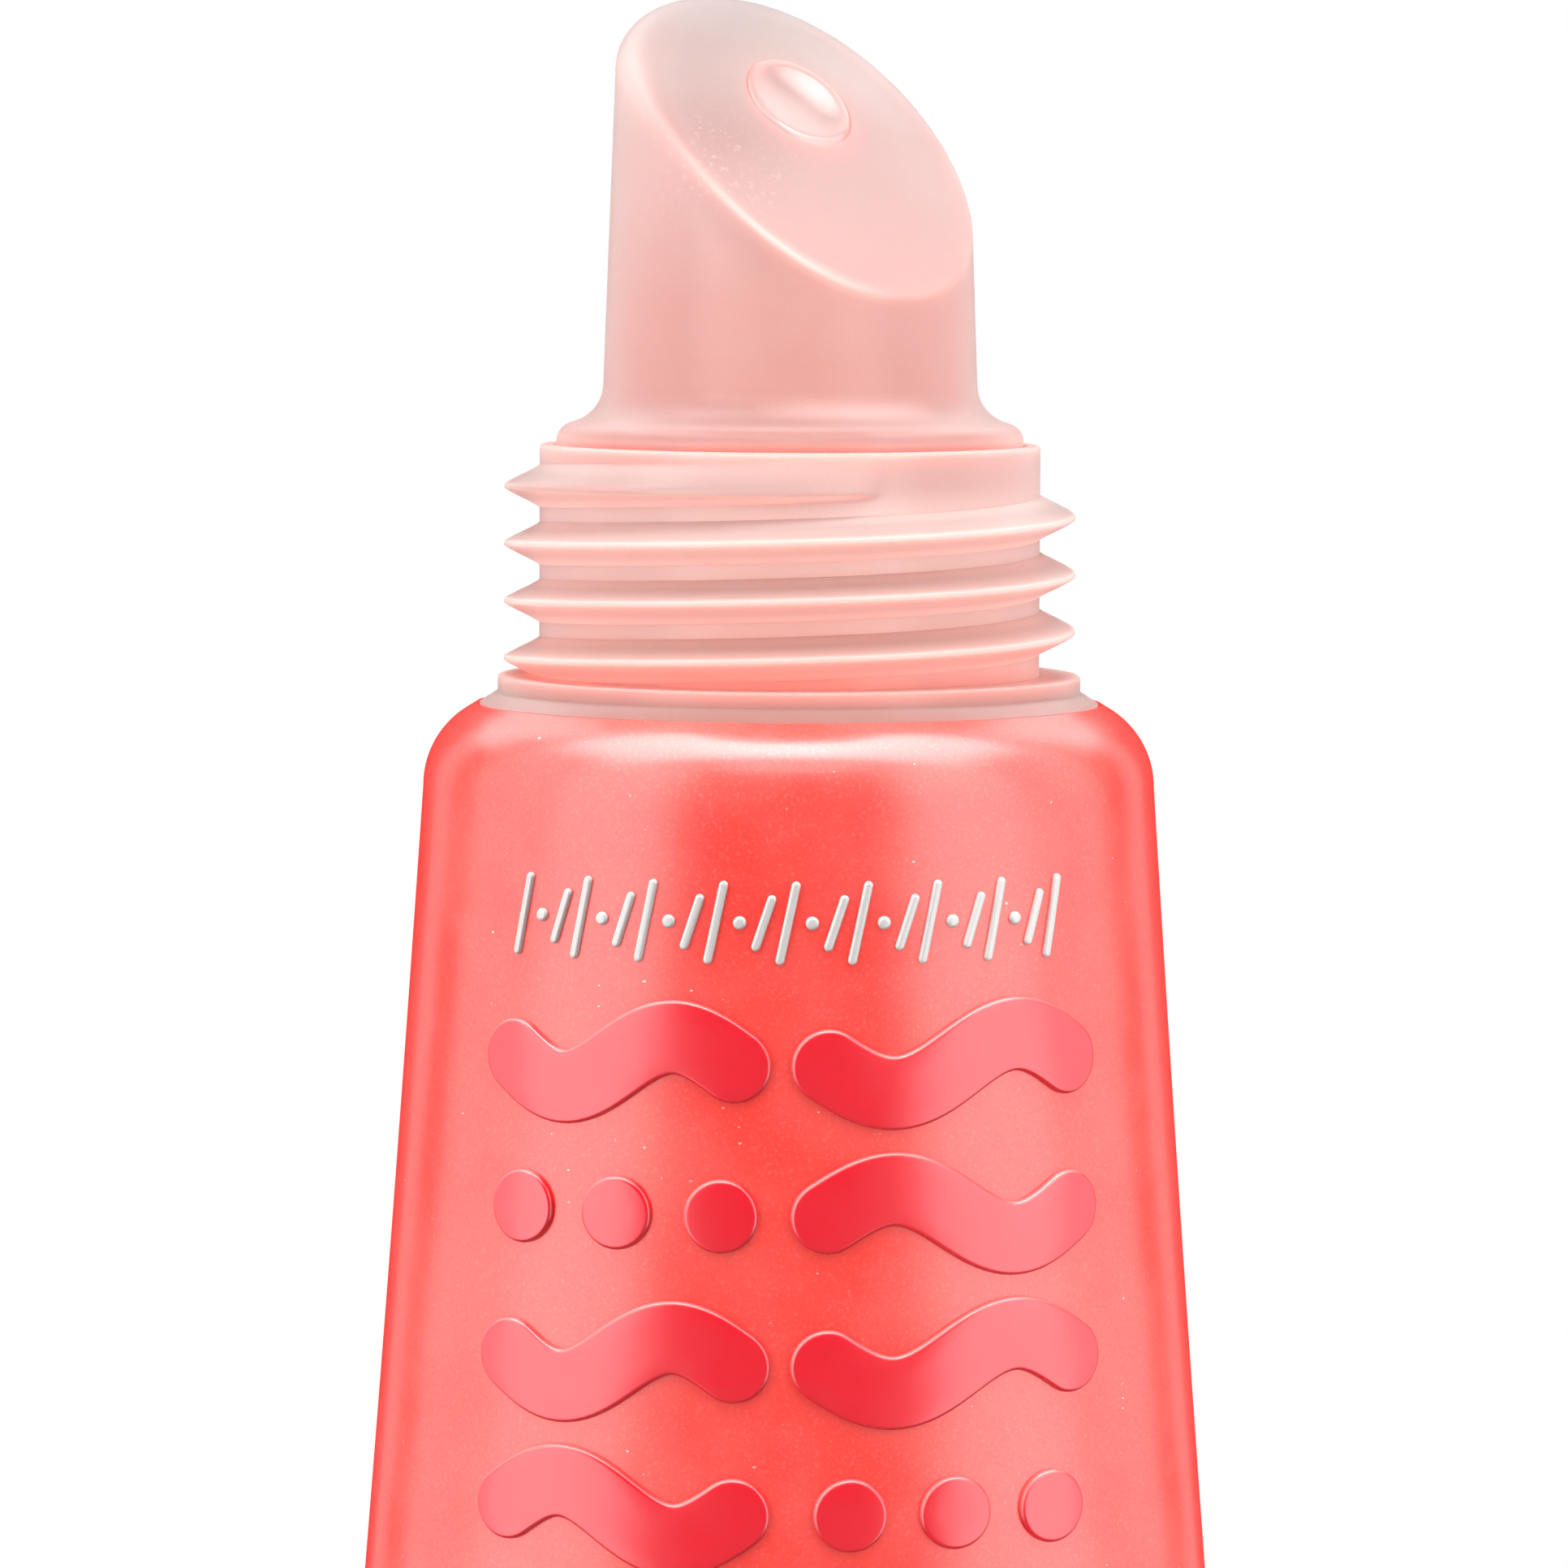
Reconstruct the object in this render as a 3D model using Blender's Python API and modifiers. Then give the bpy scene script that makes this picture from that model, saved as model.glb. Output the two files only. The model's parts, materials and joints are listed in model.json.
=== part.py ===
"""Lip gloss squeeze tube: crimped sleeve, threaded neck, slanted applicator, gloss and screw cap.

Frame: the origin is on the tube's axis at the crimp's bottom edge, +Z runs up the tube to the
applicator's tip, the printed front faces -Y and the flattened width lies along X.
The cap is drawn lifted clear of the tip, a whole number of thread turns above its closed place.
Dimensions are in millimetres and are scaled to metres where a mesh is made.
"""

import math

import bmesh
import bpy

MM = 0.001
GAP = 0.3                       # clearance between neighbouring pieces

# Sleeve: a round tube at the shoulder, flattened at constant girth down to the crimp
SLEEVE_RADIUS = 9.58
SLEEVE_WALL = 0.5
SLEEVE_TOP_Z = 70.0             # upper edge of the sleeve, folded in over the shoulder
SLEEVE_TOP_RADIUS = 8.2
SHOULDER_ARC_RADIUS = 2.35
SHOULDER_ARC_Z = 67.84          # height where the straight side ends
SHOULDER_SLOPE = math.radians(29.0)
CRIMP_HEIGHT = 5.0
CRIMP_HALF_THICKNESS = SLEEVE_WALL
CRIMP_CORNER = 0.12             # section power of the crimp: nearly a rectangle
WIDTH_CURVE = 3.3e-4            # quadratic part of the half-width, per mm
LENS_SHARPNESS = 0.6            # 0 keeps the section elliptical, 1 makes it a pointed lens
CAVITY_BOTTOM_Z = CRIMP_HEIGHT + 0.9
ROW_TAPER = 1.6                 # above 1, rows of points crowd towards the crimp

# Neck: a shoulder plug inside the sleeve, a flange and a threaded spout
NECK_RADIUS = 6.55
NECK_TOP_Z = 76.77
NECK_BORE_RADIUS = 5.2
NECK_SEAT_RADIUS = 6.38         # inside edge of the neck's mouth
NECK_EDGE = 0.08
FLANGE_RADIUS = 7.63
FLANGE_LOW_Z = 70.29
FLANGE_HIGH_Z = 70.74
FLANGE_EDGE = 0.1
PLUG_BOTTOM_Z = 66.0
PLUG_WALL = 0.9
THROAT_LOW_Z = SHOULDER_ARC_Z - 0.4     # where the plug's bore starts to narrow to the neck's
THROAT_SLOPE_Z = SHOULDER_ARC_Z + 0.6
THROAT_HIGH_Z = SHOULDER_ARC_Z + 1.2
THROAT_STEP = 0.6

# Thread: right-handed, one start
PITCH = 1.5
THREAD_CREST_RADIUS = 7.48
THREAD_CREST_HALF_WIDTH = 0.075
THREAD_FLANK = 0.5              # half-width gained per mm below the crest
THREAD_ANCHOR_Z = 71.91         # height of the ridge where it crosses +X
THREAD_START_DEG = -290.0
THREAD_END_DEG = 1010.0
THREAD_FADE_DEG = 40.0
THREAD_ROOTING = 0.15           # how far a ridge is sunk into its wall
THREAD_LEAST_SHARE = 0.05       # of its height, that a ridge keeps at its very ends

# Applicator: a flared plug whose top is cut by a slanted, slightly crowned face
STEM_RADIUS = 4.9
STEM_BOTTOM_Z = 71.6
STEM_BORE_RADIUS = 3.9
STEM_EDGE = 0.5
RIM_RADIUS = 6.11
RIM_ROUND = 0.5
RIM_ROUND_Z = NECK_TOP_Z + 0.08
RIM_ROUND_END_DEG = 70.0
WALL_RADIUS = 4.89
WALL_START_Z = 78.37
WALL_DRAFT = math.radians(2.07)
FILLET_RADIUS = 1.05            # hollow curve from the wall out to the rounded rim
FACE_AXIS_Z = 85.6              # where the slanted face crosses the axis
FACE_HIGH_SIDE = math.radians(129.6)
FACE_TILT = math.radians(45.7)
FACE_CROWN = 0.4
TIP_ROUND_HIGH = 1.26
TIP_ROUND_LOW = 0.25
ORIFICE_RADIUS = 1.5
ORIFICE_SHIFT = 0.3             # how far down the face's slope the orifice lies, seen from above
CHANNEL_BOTTOM_Z = 80.2
HOLLOW_TOP_Z = 79.0
HOLLOW_TOP_RADIUS = 3.6
HOLLOW_EDGE = 0.5
BEAD_HEIGHT = 0.35

# Cap, in its closed place
CAP_RADIUS = 9.5
CAP_WALL = 0.6
CAP_MOUTH_Z = 70.4
CAP_HEIGHT = 24.0
CAP_TOP_THICKNESS = 1.1
CAP_EDGE_ROUND = 1.2
CAP_INNER_CORNER = 0.6
CAP_LIP = 0.2
INSERT_MOUTH_Z = 70.65
INSERT_TOP_Z = 90.5
INSERT_TOP_THICKNESS = 0.8
INSERT_CLEARANCE = 0.35         # round the neck's flange
INSERT_SHEATH_WALL = 1.0
INSERT_SHEATH_EDGE = 0.4
INSERT_THREAD_BORE = THREAD_CREST_RADIUS + 0.32
INSERT_CREST_RADIUS = NECK_RADIUS + 0.32
INSERT_THREAD_START_DEG = -290.0
INSERT_THREAD_END_DEG = 705.0
SEAL_LOW_Z = 77.75
SEAL_HIGH_Z = 78.55
SEAL_INNER_RADIUS = 5.4
SEAL_OUTER_RADIUS = 6.75
SEAL_BEVEL = 0.2
SEAL_LEDGE_LOW_Z = SEAL_LOW_Z - 0.7     # ledge in the insert that carries the seal
SEAL_LEDGE_RADIUS = NECK_SEAT_RADIUS + 0.1
INSERT_THREAD_TOP_Z = SEAL_LOW_Z - 1.0
INSERT_SHOULDER_LOW_Z = SEAL_HIGH_Z + 1.6
INSERT_SHOULDER_HIGH_Z = SEAL_HIGH_Z + 2.4
CAP_LIFT_TURNS = 20
CAP_LIFT = CAP_LIFT_TURNS * PITCH

# Facets round a turn
SLEEVE_POINTS = 48
TURN_STEPS = 40
APPLICATOR_POINTS = 40
GLOSS_POINTS = 24


def clear_scene():
    """Remove every object and mesh so that the script starts from nothing."""
    for item in list(bpy.data.objects):
        bpy.data.objects.remove(item, do_unlink=True)
    for mesh in list(bpy.data.meshes):
        bpy.data.meshes.remove(mesh)


def new_collection(name):
    collection = bpy.data.collections.new(name)
    bpy.context.scene.collection.children.link(collection)
    return collection


def new_material(name, colour, roughness, metallic=0.0):
    material = bpy.data.materials.new(name)
    material.use_nodes = True
    shader = material.node_tree.nodes["Principled BSDF"]
    shader.inputs["Base Color"].default_value = (*colour, 1.0)
    shader.inputs["Roughness"].default_value = roughness
    shader.inputs["Metallic"].default_value = metallic
    return material


def smooth(mesh, angle=35.0):
    mesh.shade_smooth()
    mesh.set_sharp_from_angle(angle=math.radians(angle))


def arc(centre_r, centre_z, radius, start_deg, end_deg, steps):
    """Points of a profile along an arc, both ends included, as (radius, height)."""
    points = []
    for i in range(steps + 1):
        angle = math.radians(start_deg + (end_deg - start_deg) * i / steps)
        points.append((centre_r + radius * math.cos(angle), centre_z + radius * math.sin(angle)))
    return points


def turned(name, profile, collection, steps=TURN_STEPS, closed=True):
    """A turned body: the profile runs down its outer side and back up its inner side."""
    bm = bmesh.new()
    points = [bm.verts.new((r * MM, 0.0, z * MM)) for r, z in profile]
    for first, second in zip(points, points[1:]):
        bm.edges.new((first, second))
    if closed:
        bm.edges.new((points[-1], points[0]))
    mesh = bpy.data.meshes.new(name)
    bm.to_mesh(mesh)
    bm.free()
    body = bpy.data.objects.new(name, mesh)
    collection.objects.link(body)
    screw = body.modifiers.new("turn", "SCREW")
    screw.axis = "Z"
    screw.angle = math.tau
    screw.steps = steps
    screw.render_steps = steps
    screw.use_merge_vertices = True
    screw.merge_threshold = 1e-6
    screw.use_smooth_shade = True
    return body


def loft(name, rings, collection, ring_shaped=False):
    """A closed body through rings of equal point counts.

    Its two ends are capped, or joined to each other when the body is ring-shaped.
    """
    bm = bmesh.new()
    rows = [[bm.verts.new((x * MM, y * MM, z * MM)) for x, y, z in ring] for ring in rings]
    count = len(rings[0])
    pairs = list(zip(rows, rows[1:]))
    if ring_shaped:
        pairs.append((rows[-1], rows[0]))
    else:
        bm.faces.new(list(reversed(rows[0])))
        bm.faces.new(rows[-1])
    for lower, upper in pairs:
        for i in range(count):
            j = (i + 1) % count
            bm.faces.new((lower[i], lower[j], upper[j], upper[i]))
    bmesh.ops.recalc_face_normals(bm, faces=bm.faces)
    mesh = bpy.data.meshes.new(name)
    bm.to_mesh(mesh)
    bm.free()
    smooth(mesh)
    body = bpy.data.objects.new(name, mesh)
    collection.objects.link(body)
    return body


def join(body, tool):
    """Add a helper body to a piece."""
    tool.hide_render = True
    tool.display_type = "WIRE"
    union = body.modifiers.new("join_" + tool.name, "BOOLEAN")
    union.operation = "UNION"
    union.object = tool


# ---------------------------------------------------------------- sleeve

def sleeve_half_width(z):
    """Half of the sleeve's width below its shoulder, seen from the front."""
    below = SHOULDER_ARC_Z - z
    length = SHOULDER_ARC_Z - CRIMP_HEIGHT
    flat = SLEEVE_RADIUS * math.pi / 2
    slope = (flat - SLEEVE_RADIUS) / length - WIDTH_CURVE * length
    return min(flat, SLEEVE_RADIUS + slope * below + WIDTH_CURVE * below ** 2)


def section_power(z):
    """1 for an elliptical section, rising towards a pointed lens at the crimp."""
    share = (SHOULDER_ARC_Z - z) / (SHOULDER_ARC_Z - CRIMP_HEIGHT)
    return 1.0 + LENS_SHARPNESS * max(0.0, share) ** 2


def section_point(half_width, half_depth, power, angle):
    side = math.sin(angle)
    depth = half_depth * math.copysign(abs(side) ** power, side)
    return half_width * math.cos(angle), depth


def girth(half_width, half_depth, power, steps=90):
    """Length round a section, from the chords of one quarter of it."""
    corners = [
        section_point(half_width, half_depth, power, math.pi / 2 * i / steps)
        for i in range(steps + 1)
    ]
    return 4 * sum(math.dist(a, b) for a, b in zip(corners, corners[1:]))


def sleeve_half_depth(z):
    """Half of the sleeve's depth, found so that the girth never changes."""
    width = sleeve_half_width(z)
    power = section_power(z)
    low, high = CRIMP_HALF_THICKNESS, SLEEVE_RADIUS
    for _ in range(40):
        middle = (low + high) / 2
        if girth(width, middle, power) < math.tau * SLEEVE_RADIUS:
            low = middle
        else:
            high = middle
    return (low + high) / 2


def section_ring(half_width, half_depth, z, power, count):
    ring = []
    for i in range(count):
        x, y = section_point(half_width, half_depth, power, math.tau * i / count)
        ring.append((x, y, z))
    return ring


def sleeve_ring(z, inset, count):
    """A ring of the flattened part of the sleeve, set in from its outer surface."""
    width = sleeve_half_width(z) - inset
    depth = sleeve_half_depth(z) - inset
    return section_ring(width, depth, z, section_power(z), count)


def shoulder_profile(inset):
    """The sleeve's rounded shoulder from the straight side up to its edge, as (radius, height)."""
    centre = SLEEVE_RADIUS - SHOULDER_ARC_RADIUS
    steep = 90.0 - math.degrees(SHOULDER_SLOPE)
    points = arc(centre, SHOULDER_ARC_Z, SHOULDER_ARC_RADIUS - inset, 0.0, steep, 5)
    edge_r = SLEEVE_TOP_RADIUS - inset * math.sin(SHOULDER_SLOPE)
    edge_z = SLEEVE_TOP_Z - inset * math.cos(SHOULDER_SLOPE)
    return points + [(edge_r, edge_z)]


def tapered_heights(low, high, steps):
    """Heights from low to high, closer together near the low end."""
    return [low + (high - low) * (i / steps) ** ROW_TAPER for i in range(steps + 1)]


def make_sleeve(collection):
    count = SLEEVE_POINTS
    crimp_width = SLEEVE_RADIUS * math.pi / 2
    rings = [
        section_ring(crimp_width, CRIMP_HALF_THICKNESS, z, CRIMP_CORNER, count)
        for z in (0.0, CRIMP_HEIGHT)
    ]
    heights = tapered_heights(CRIMP_HEIGHT + 0.5, SHOULDER_ARC_Z, 14)
    rings += [sleeve_ring(z, 0.0, count) for z in heights]
    rings += [section_ring(r, r, z, 1.0, count) for r, z in shoulder_profile(0.0)[1:]]
    rings += [section_ring(r, r, z, 1.0, count) for r, z in reversed(shoulder_profile(SLEEVE_WALL))]
    inner = tapered_heights(CAVITY_BOTTOM_Z, SHOULDER_ARC_Z, 11)[:-1]
    rings += [sleeve_ring(z, SLEEVE_WALL, count) for z in reversed(inner)]
    return loft("tube_sleeve", rings, collection)


# ---------------------------------------------------------------- thread

def thread_ridge(name, root, crest, shift, start_deg, end_deg, collection):
    """A helical ridge from a wall at radius root to a crest, fading out at both ends.

    The root is inside the crest for a neck, and outside it for a cap.
    """
    outward = 1.0 if crest > root else -1.0
    rise = abs(crest - root)
    steps = round((end_deg - start_deg) / 360.0 * TURN_STEPS)
    rings = []
    for i in range(steps + 1):
        degrees = start_deg + (end_deg - start_deg) * i / steps
        from_end = min(degrees - start_deg, end_deg - degrees)
        share = min(1.0, from_end / THREAD_FADE_DEG)
        height = rise * (THREAD_LEAST_SHARE + (1 - THREAD_LEAST_SHARE) * share ** 0.5)
        z = THREAD_ANCHOR_Z + shift + PITCH * degrees / 360.0
        foot_half = THREAD_CREST_HALF_WIDTH + THREAD_FLANK * (height + THREAD_ROOTING)
        foot = root - outward * THREAD_ROOTING
        top = root + outward * height
        corners = (
            (foot, z - foot_half),
            (top, z - THREAD_CREST_HALF_WIDTH),
            (top, z + THREAD_CREST_HALF_WIDTH),
            (foot, z + foot_half),
        )
        turn = math.radians(degrees)
        rings.append([(r * math.cos(turn), r * math.sin(turn), h) for r, h in corners])
    return loft(name, rings, collection)


def make_neck(collection, helpers):
    shoulder = shoulder_profile(SLEEVE_WALL + GAP)
    plug_radius = shoulder[0][0]
    foot = FLANGE_RADIUS + FLANGE_EDGE / 2
    profile = [
        (NECK_SEAT_RADIUS, NECK_TOP_Z),
        (NECK_RADIUS - NECK_EDGE, NECK_TOP_Z),
        (NECK_RADIUS, NECK_TOP_Z - NECK_EDGE),
        (NECK_RADIUS, FLANGE_HIGH_Z),
        (FLANGE_RADIUS - FLANGE_EDGE, FLANGE_HIGH_Z),
        (FLANGE_RADIUS, FLANGE_HIGH_Z - FLANGE_EDGE),
        (FLANGE_RADIUS, FLANGE_LOW_Z),
        (foot, FLANGE_LOW_Z - FLANGE_EDGE),
        (foot, shoulder[-1][1] + (shoulder[-1][0] - foot) * math.tan(SHOULDER_SLOPE)),
    ]
    profile += list(reversed(shoulder))[1:]
    profile += [
        (plug_radius, PLUG_BOTTOM_Z),
        (plug_radius - PLUG_WALL, PLUG_BOTTOM_Z),
        (plug_radius - PLUG_WALL, THROAT_LOW_Z),
        (NECK_BORE_RADIUS + THROAT_STEP, THROAT_SLOPE_Z),
        (NECK_BORE_RADIUS, THROAT_HIGH_Z),
        (NECK_BORE_RADIUS, NECK_TOP_Z - GAP),
        (NECK_SEAT_RADIUS, NECK_TOP_Z - GAP),
    ]
    neck = turned("threaded_neck", profile, collection)
    ridge = thread_ridge("neck_ridge", NECK_RADIUS, THREAD_CREST_RADIUS, 0.0,
                         THREAD_START_DEG, THREAD_END_DEG, helpers)
    join(neck, ridge)
    return neck


# ---------------------------------------------------------------- applicator

def face_height(x, y):
    """Height of the slanted plane over a plan position."""
    uphill = x * math.cos(FACE_HIGH_SIDE) + y * math.sin(FACE_HIGH_SIDE)
    return FACE_AXIS_Z + uphill * math.tan(FACE_TILT)


def rim_arc(lean, steps):
    """The rounded edge between the applicator's wall and its slanted face, as (radius, height).

    lean is 1 towards the face's high side and -1 towards its low side.
    """
    draft = math.tan(WALL_DRAFT)
    slope = lean * math.tan(FACE_TILT)
    corner_r = (WALL_RADIUS - draft * (FACE_AXIS_Z - WALL_START_Z)) / (1 + draft * slope)
    corner_z = FACE_AXIS_Z + corner_r * slope
    down = (math.sin(WALL_DRAFT), -math.cos(WALL_DRAFT))
    length = math.hypot(1.0, slope)
    inward = (-1.0 / length, -slope / length)
    half = math.acos(down[0] * inward[0] + down[1] * inward[1]) / 2
    radius = (TIP_ROUND_HIGH + TIP_ROUND_LOW) / 2 + (TIP_ROUND_HIGH - TIP_ROUND_LOW) / 2 * lean
    reach = radius / math.sin(half)
    middle = (down[0] + inward[0], down[1] + inward[1])
    scale = reach / math.hypot(*middle)
    centre = (corner_r + middle[0] * scale, corner_z + middle[1] * scale)
    start = math.atan2(WALL_DRAFT, 1.0)
    sweep = math.pi - 2 * half
    points = []
    for i in range(steps + 1):
        angle = start + sweep * i / steps
        points.append((centre[0] + radius * math.cos(angle), centre[1] + radius * math.sin(angle)))
    return points


def azimuths(count):
    return [math.tau * i / count for i in range(count)]


def orifice_point(azimuth, inset=0.0):
    """Plan position on the edge of the orifice, which is round in the slanted face."""
    lean = math.cos(azimuth - FACE_HIGH_SIDE)
    along = ORIFICE_RADIUS * math.cos(FACE_TILT) - inset
    across = ORIFICE_RADIUS - inset
    radius = 1.0 / math.sqrt((lean / along) ** 2 + (1.0 - lean ** 2) / across ** 2)
    centre_x = -ORIFICE_SHIFT * math.cos(FACE_HIGH_SIDE)
    centre_y = -ORIFICE_SHIFT * math.sin(FACE_HIGH_SIDE)
    return centre_x + radius * math.cos(azimuth), centre_y + radius * math.sin(azimuth)


def wall_ring(share, arc_steps, count):
    """A ring on the drafted wall, from its foot (share 0) to its rounded edge (share 1)."""
    ring = []
    for azimuth in azimuths(count):
        r, z = rim_arc(math.cos(azimuth - FACE_HIGH_SIDE), arc_steps)[0]
        r = WALL_RADIUS + (r - WALL_RADIUS) * share
        z = WALL_START_Z + (z - WALL_START_Z) * share
        ring.append((r * math.cos(azimuth), r * math.sin(azimuth), z))
    return ring


def rim_ring(step, arc_steps, count):
    """A ring on the rounded edge between the wall and the slanted face."""
    ring = []
    for azimuth in azimuths(count):
        r, z = rim_arc(math.cos(azimuth - FACE_HIGH_SIDE), arc_steps)[step]
        ring.append((r * math.cos(azimuth), r * math.sin(azimuth), z))
    return ring


def face_ring(share, arc_steps, count):
    """A ring on the crowned face, from its edge (share 0) to the orifice (share 1)."""
    crown = FACE_CROWN * (1.0 - (1.0 - share) ** 2) ** 2
    ring = []
    for (rim_x, rim_y, _), azimuth in zip(rim_ring(-1, arc_steps, count), azimuths(count)):
        end_x, end_y = orifice_point(azimuth)
        x = rim_x + (end_x - rim_x) * share
        y = rim_y + (end_y - rim_y) * share
        ring.append((x, y, face_height(x, y) + crown))
    return ring


def make_applicator(collection):
    count = APPLICATOR_POINTS
    arc_steps = 5
    outline = [
        (STEM_RADIUS - STEM_EDGE, STEM_BOTTOM_Z),
        (STEM_RADIUS, STEM_BOTTOM_Z + STEM_EDGE),
        (STEM_RADIUS, NECK_TOP_Z),
        (RIM_RADIUS, NECK_TOP_Z),
    ]
    outline += arc(RIM_RADIUS - RIM_ROUND, RIM_ROUND_Z, RIM_ROUND, 0.0, RIM_ROUND_END_DEG, 3)
    outline += arc(WALL_RADIUS + FILLET_RADIUS, WALL_START_Z, FILLET_RADIUS, 250.0, 180.0, 4)
    rings = [section_ring(r, r, z, 1.0, count) for r, z in outline]
    rings += [wall_ring(share, arc_steps, count) for share in (0.5, 1.0)]
    rings += [rim_ring(step, arc_steps, count) for step in range(1, arc_steps + 1)]
    rings += [face_ring(share, arc_steps, count) for share in (0.3, 0.65, 1.0)]
    channel = [orifice_point(azimuth) for azimuth in azimuths(count)]
    rings.append([(x, y, CHANNEL_BOTTOM_Z) for x, y in channel])
    for r, z in (
        (HOLLOW_TOP_RADIUS - HOLLOW_EDGE, HOLLOW_TOP_Z),
        (HOLLOW_TOP_RADIUS, HOLLOW_TOP_Z - HOLLOW_EDGE),
        (STEM_BORE_RADIUS, STEM_BOTTOM_Z),
    ):
        rings.append(section_ring(r, r, z, 1.0, count))
    return loft("slant_applicator", rings, collection, ring_shaped=True)


# ---------------------------------------------------------------- gloss

def bead_ring(share, rise, count):
    """A ring of the domed bead: share of the orifice's width, and rise as a share of its height."""
    edge = [orifice_point(azimuth, GAP) for azimuth in azimuths(count)]
    centre_x = sum(x for x, _ in edge) / count
    centre_y = sum(y for _, y in edge) / count
    ring = []
    for edge_x, edge_y in edge:
        x = centre_x + (edge_x - centre_x) * share
        y = centre_y + (edge_y - centre_y) * share
        ring.append((x, y, face_height(x, y) + FACE_CROWN + BEAD_HEIGHT * rise))
    return ring


def make_gloss(collection):
    count = GLOSS_POINTS
    inset = SLEEVE_WALL + GAP
    heights = tapered_heights(CAVITY_BOTTOM_Z + 1.1, PLUG_BOTTOM_Z - 2 * GAP, 10)
    rings = [sleeve_ring(z, inset, count) for z in heights]
    plug_bore = shoulder_profile(SLEEVE_WALL + GAP)[0][0] - PLUG_WALL
    for r, z in (
        (plug_bore - GAP, PLUG_BOTTOM_Z - GAP),
        (plug_bore - GAP, THROAT_LOW_Z - GAP),
        (NECK_BORE_RADIUS + THROAT_STEP - GAP, THROAT_SLOPE_Z - GAP),
        (NECK_BORE_RADIUS - GAP, THROAT_HIGH_Z - GAP),
        (NECK_BORE_RADIUS - GAP, STEM_BOTTOM_Z - GAP),
        (STEM_BORE_RADIUS - GAP, STEM_BOTTOM_Z),
        (HOLLOW_TOP_RADIUS - GAP, HOLLOW_TOP_Z - 2 * HOLLOW_EDGE),
    ):
        rings.append(section_ring(r, r, z, 1.0, count))
    channel = [orifice_point(azimuth, GAP) for azimuth in azimuths(count)]
    rings.append([(x, y, CHANNEL_BOTTOM_Z) for x, y in channel])
    rings += [bead_ring(*dome, count) for dome in ((1.0, 0.0), (0.9, 0.6), (0.6, 0.9), (0.15, 1.0))]
    return loft("gloss_fill", rings, collection)


# ---------------------------------------------------------------- cap

def make_cap_shell(collection):
    top = CAP_MOUTH_Z + CAP_HEIGHT
    inner = CAP_RADIUS - CAP_WALL
    profile = [(0.0, top)]
    profile += arc(CAP_RADIUS - CAP_EDGE_ROUND, top - CAP_EDGE_ROUND, CAP_EDGE_ROUND, 90.0, 0.0, 5)
    profile += [
        (CAP_RADIUS, CAP_MOUTH_Z + CAP_LIP),
        (CAP_RADIUS - CAP_LIP, CAP_MOUTH_Z),
        (inner, CAP_MOUTH_Z),
        (inner, top - CAP_TOP_THICKNESS - CAP_INNER_CORNER),
        (inner - CAP_INNER_CORNER, top - CAP_TOP_THICKNESS),
        (0.0, top - CAP_TOP_THICKNESS),
    ]
    return turned("cap_shell", profile, collection, closed=False)


def make_cap_insert(collection, helpers):
    outer = CAP_RADIUS - CAP_WALL - GAP
    groove = SEAL_OUTER_RADIUS + GAP
    sheath = SEAL_INNER_RADIUS + INSERT_SHEATH_WALL
    mouth = FLANGE_RADIUS + INSERT_CLEARANCE
    profile = [
        (0.0, INSERT_TOP_Z),
        (sheath - INSERT_SHEATH_EDGE, INSERT_TOP_Z),
        (sheath, INSERT_TOP_Z - INSERT_SHEATH_EDGE),
        (sheath, INSERT_SHOULDER_HIGH_Z),
        (outer, INSERT_SHOULDER_LOW_Z),
        (outer, INSERT_MOUTH_Z),
        (mouth, INSERT_MOUTH_Z),
        (mouth, FLANGE_HIGH_Z + GAP),
        (INSERT_THREAD_BORE, FLANGE_HIGH_Z + GAP + mouth - INSERT_THREAD_BORE),
        (INSERT_THREAD_BORE, INSERT_THREAD_TOP_Z),
        (SEAL_LEDGE_RADIUS, SEAL_LEDGE_LOW_Z),
        (SEAL_LEDGE_RADIUS, SEAL_LOW_Z - GAP),
        (groove, SEAL_LOW_Z - GAP),
        (groove, SEAL_HIGH_Z + GAP),
        (SEAL_INNER_RADIUS, SEAL_HIGH_Z + GAP),
        (SEAL_INNER_RADIUS, INSERT_TOP_Z - INSERT_TOP_THICKNESS),
        (0.0, INSERT_TOP_Z - INSERT_TOP_THICKNESS),
    ]
    insert = turned("cap_insert", profile, collection, closed=False)
    ridge = thread_ridge("insert_ridge", INSERT_THREAD_BORE, INSERT_CREST_RADIUS, PITCH / 2,
                         INSERT_THREAD_START_DEG, INSERT_THREAD_END_DEG, helpers)
    join(insert, ridge)
    return insert, ridge


def make_cap_seal(collection):
    profile = [
        (SEAL_INNER_RADIUS, SEAL_HIGH_Z),
        (SEAL_OUTER_RADIUS, SEAL_HIGH_Z),
        (SEAL_OUTER_RADIUS, SEAL_LOW_Z),
        (SEAL_INNER_RADIUS + SEAL_BEVEL, SEAL_LOW_Z),
        (SEAL_INNER_RADIUS, SEAL_LOW_Z + SEAL_BEVEL),
    ]
    return turned("cap_seal", profile, collection)


def hold_by_empty(name, pieces, collection):
    """Lift the cap's pieces with an empty that stands on the tube's axis, where they turn."""
    axis = bpy.data.objects.new(name, None)
    axis.location = (0.0, 0.0, CAP_LIFT * MM)
    axis.empty_display_size = 5 * MM
    collection.objects.link(axis)
    for piece in pieces:
        piece.parent = axis


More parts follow.
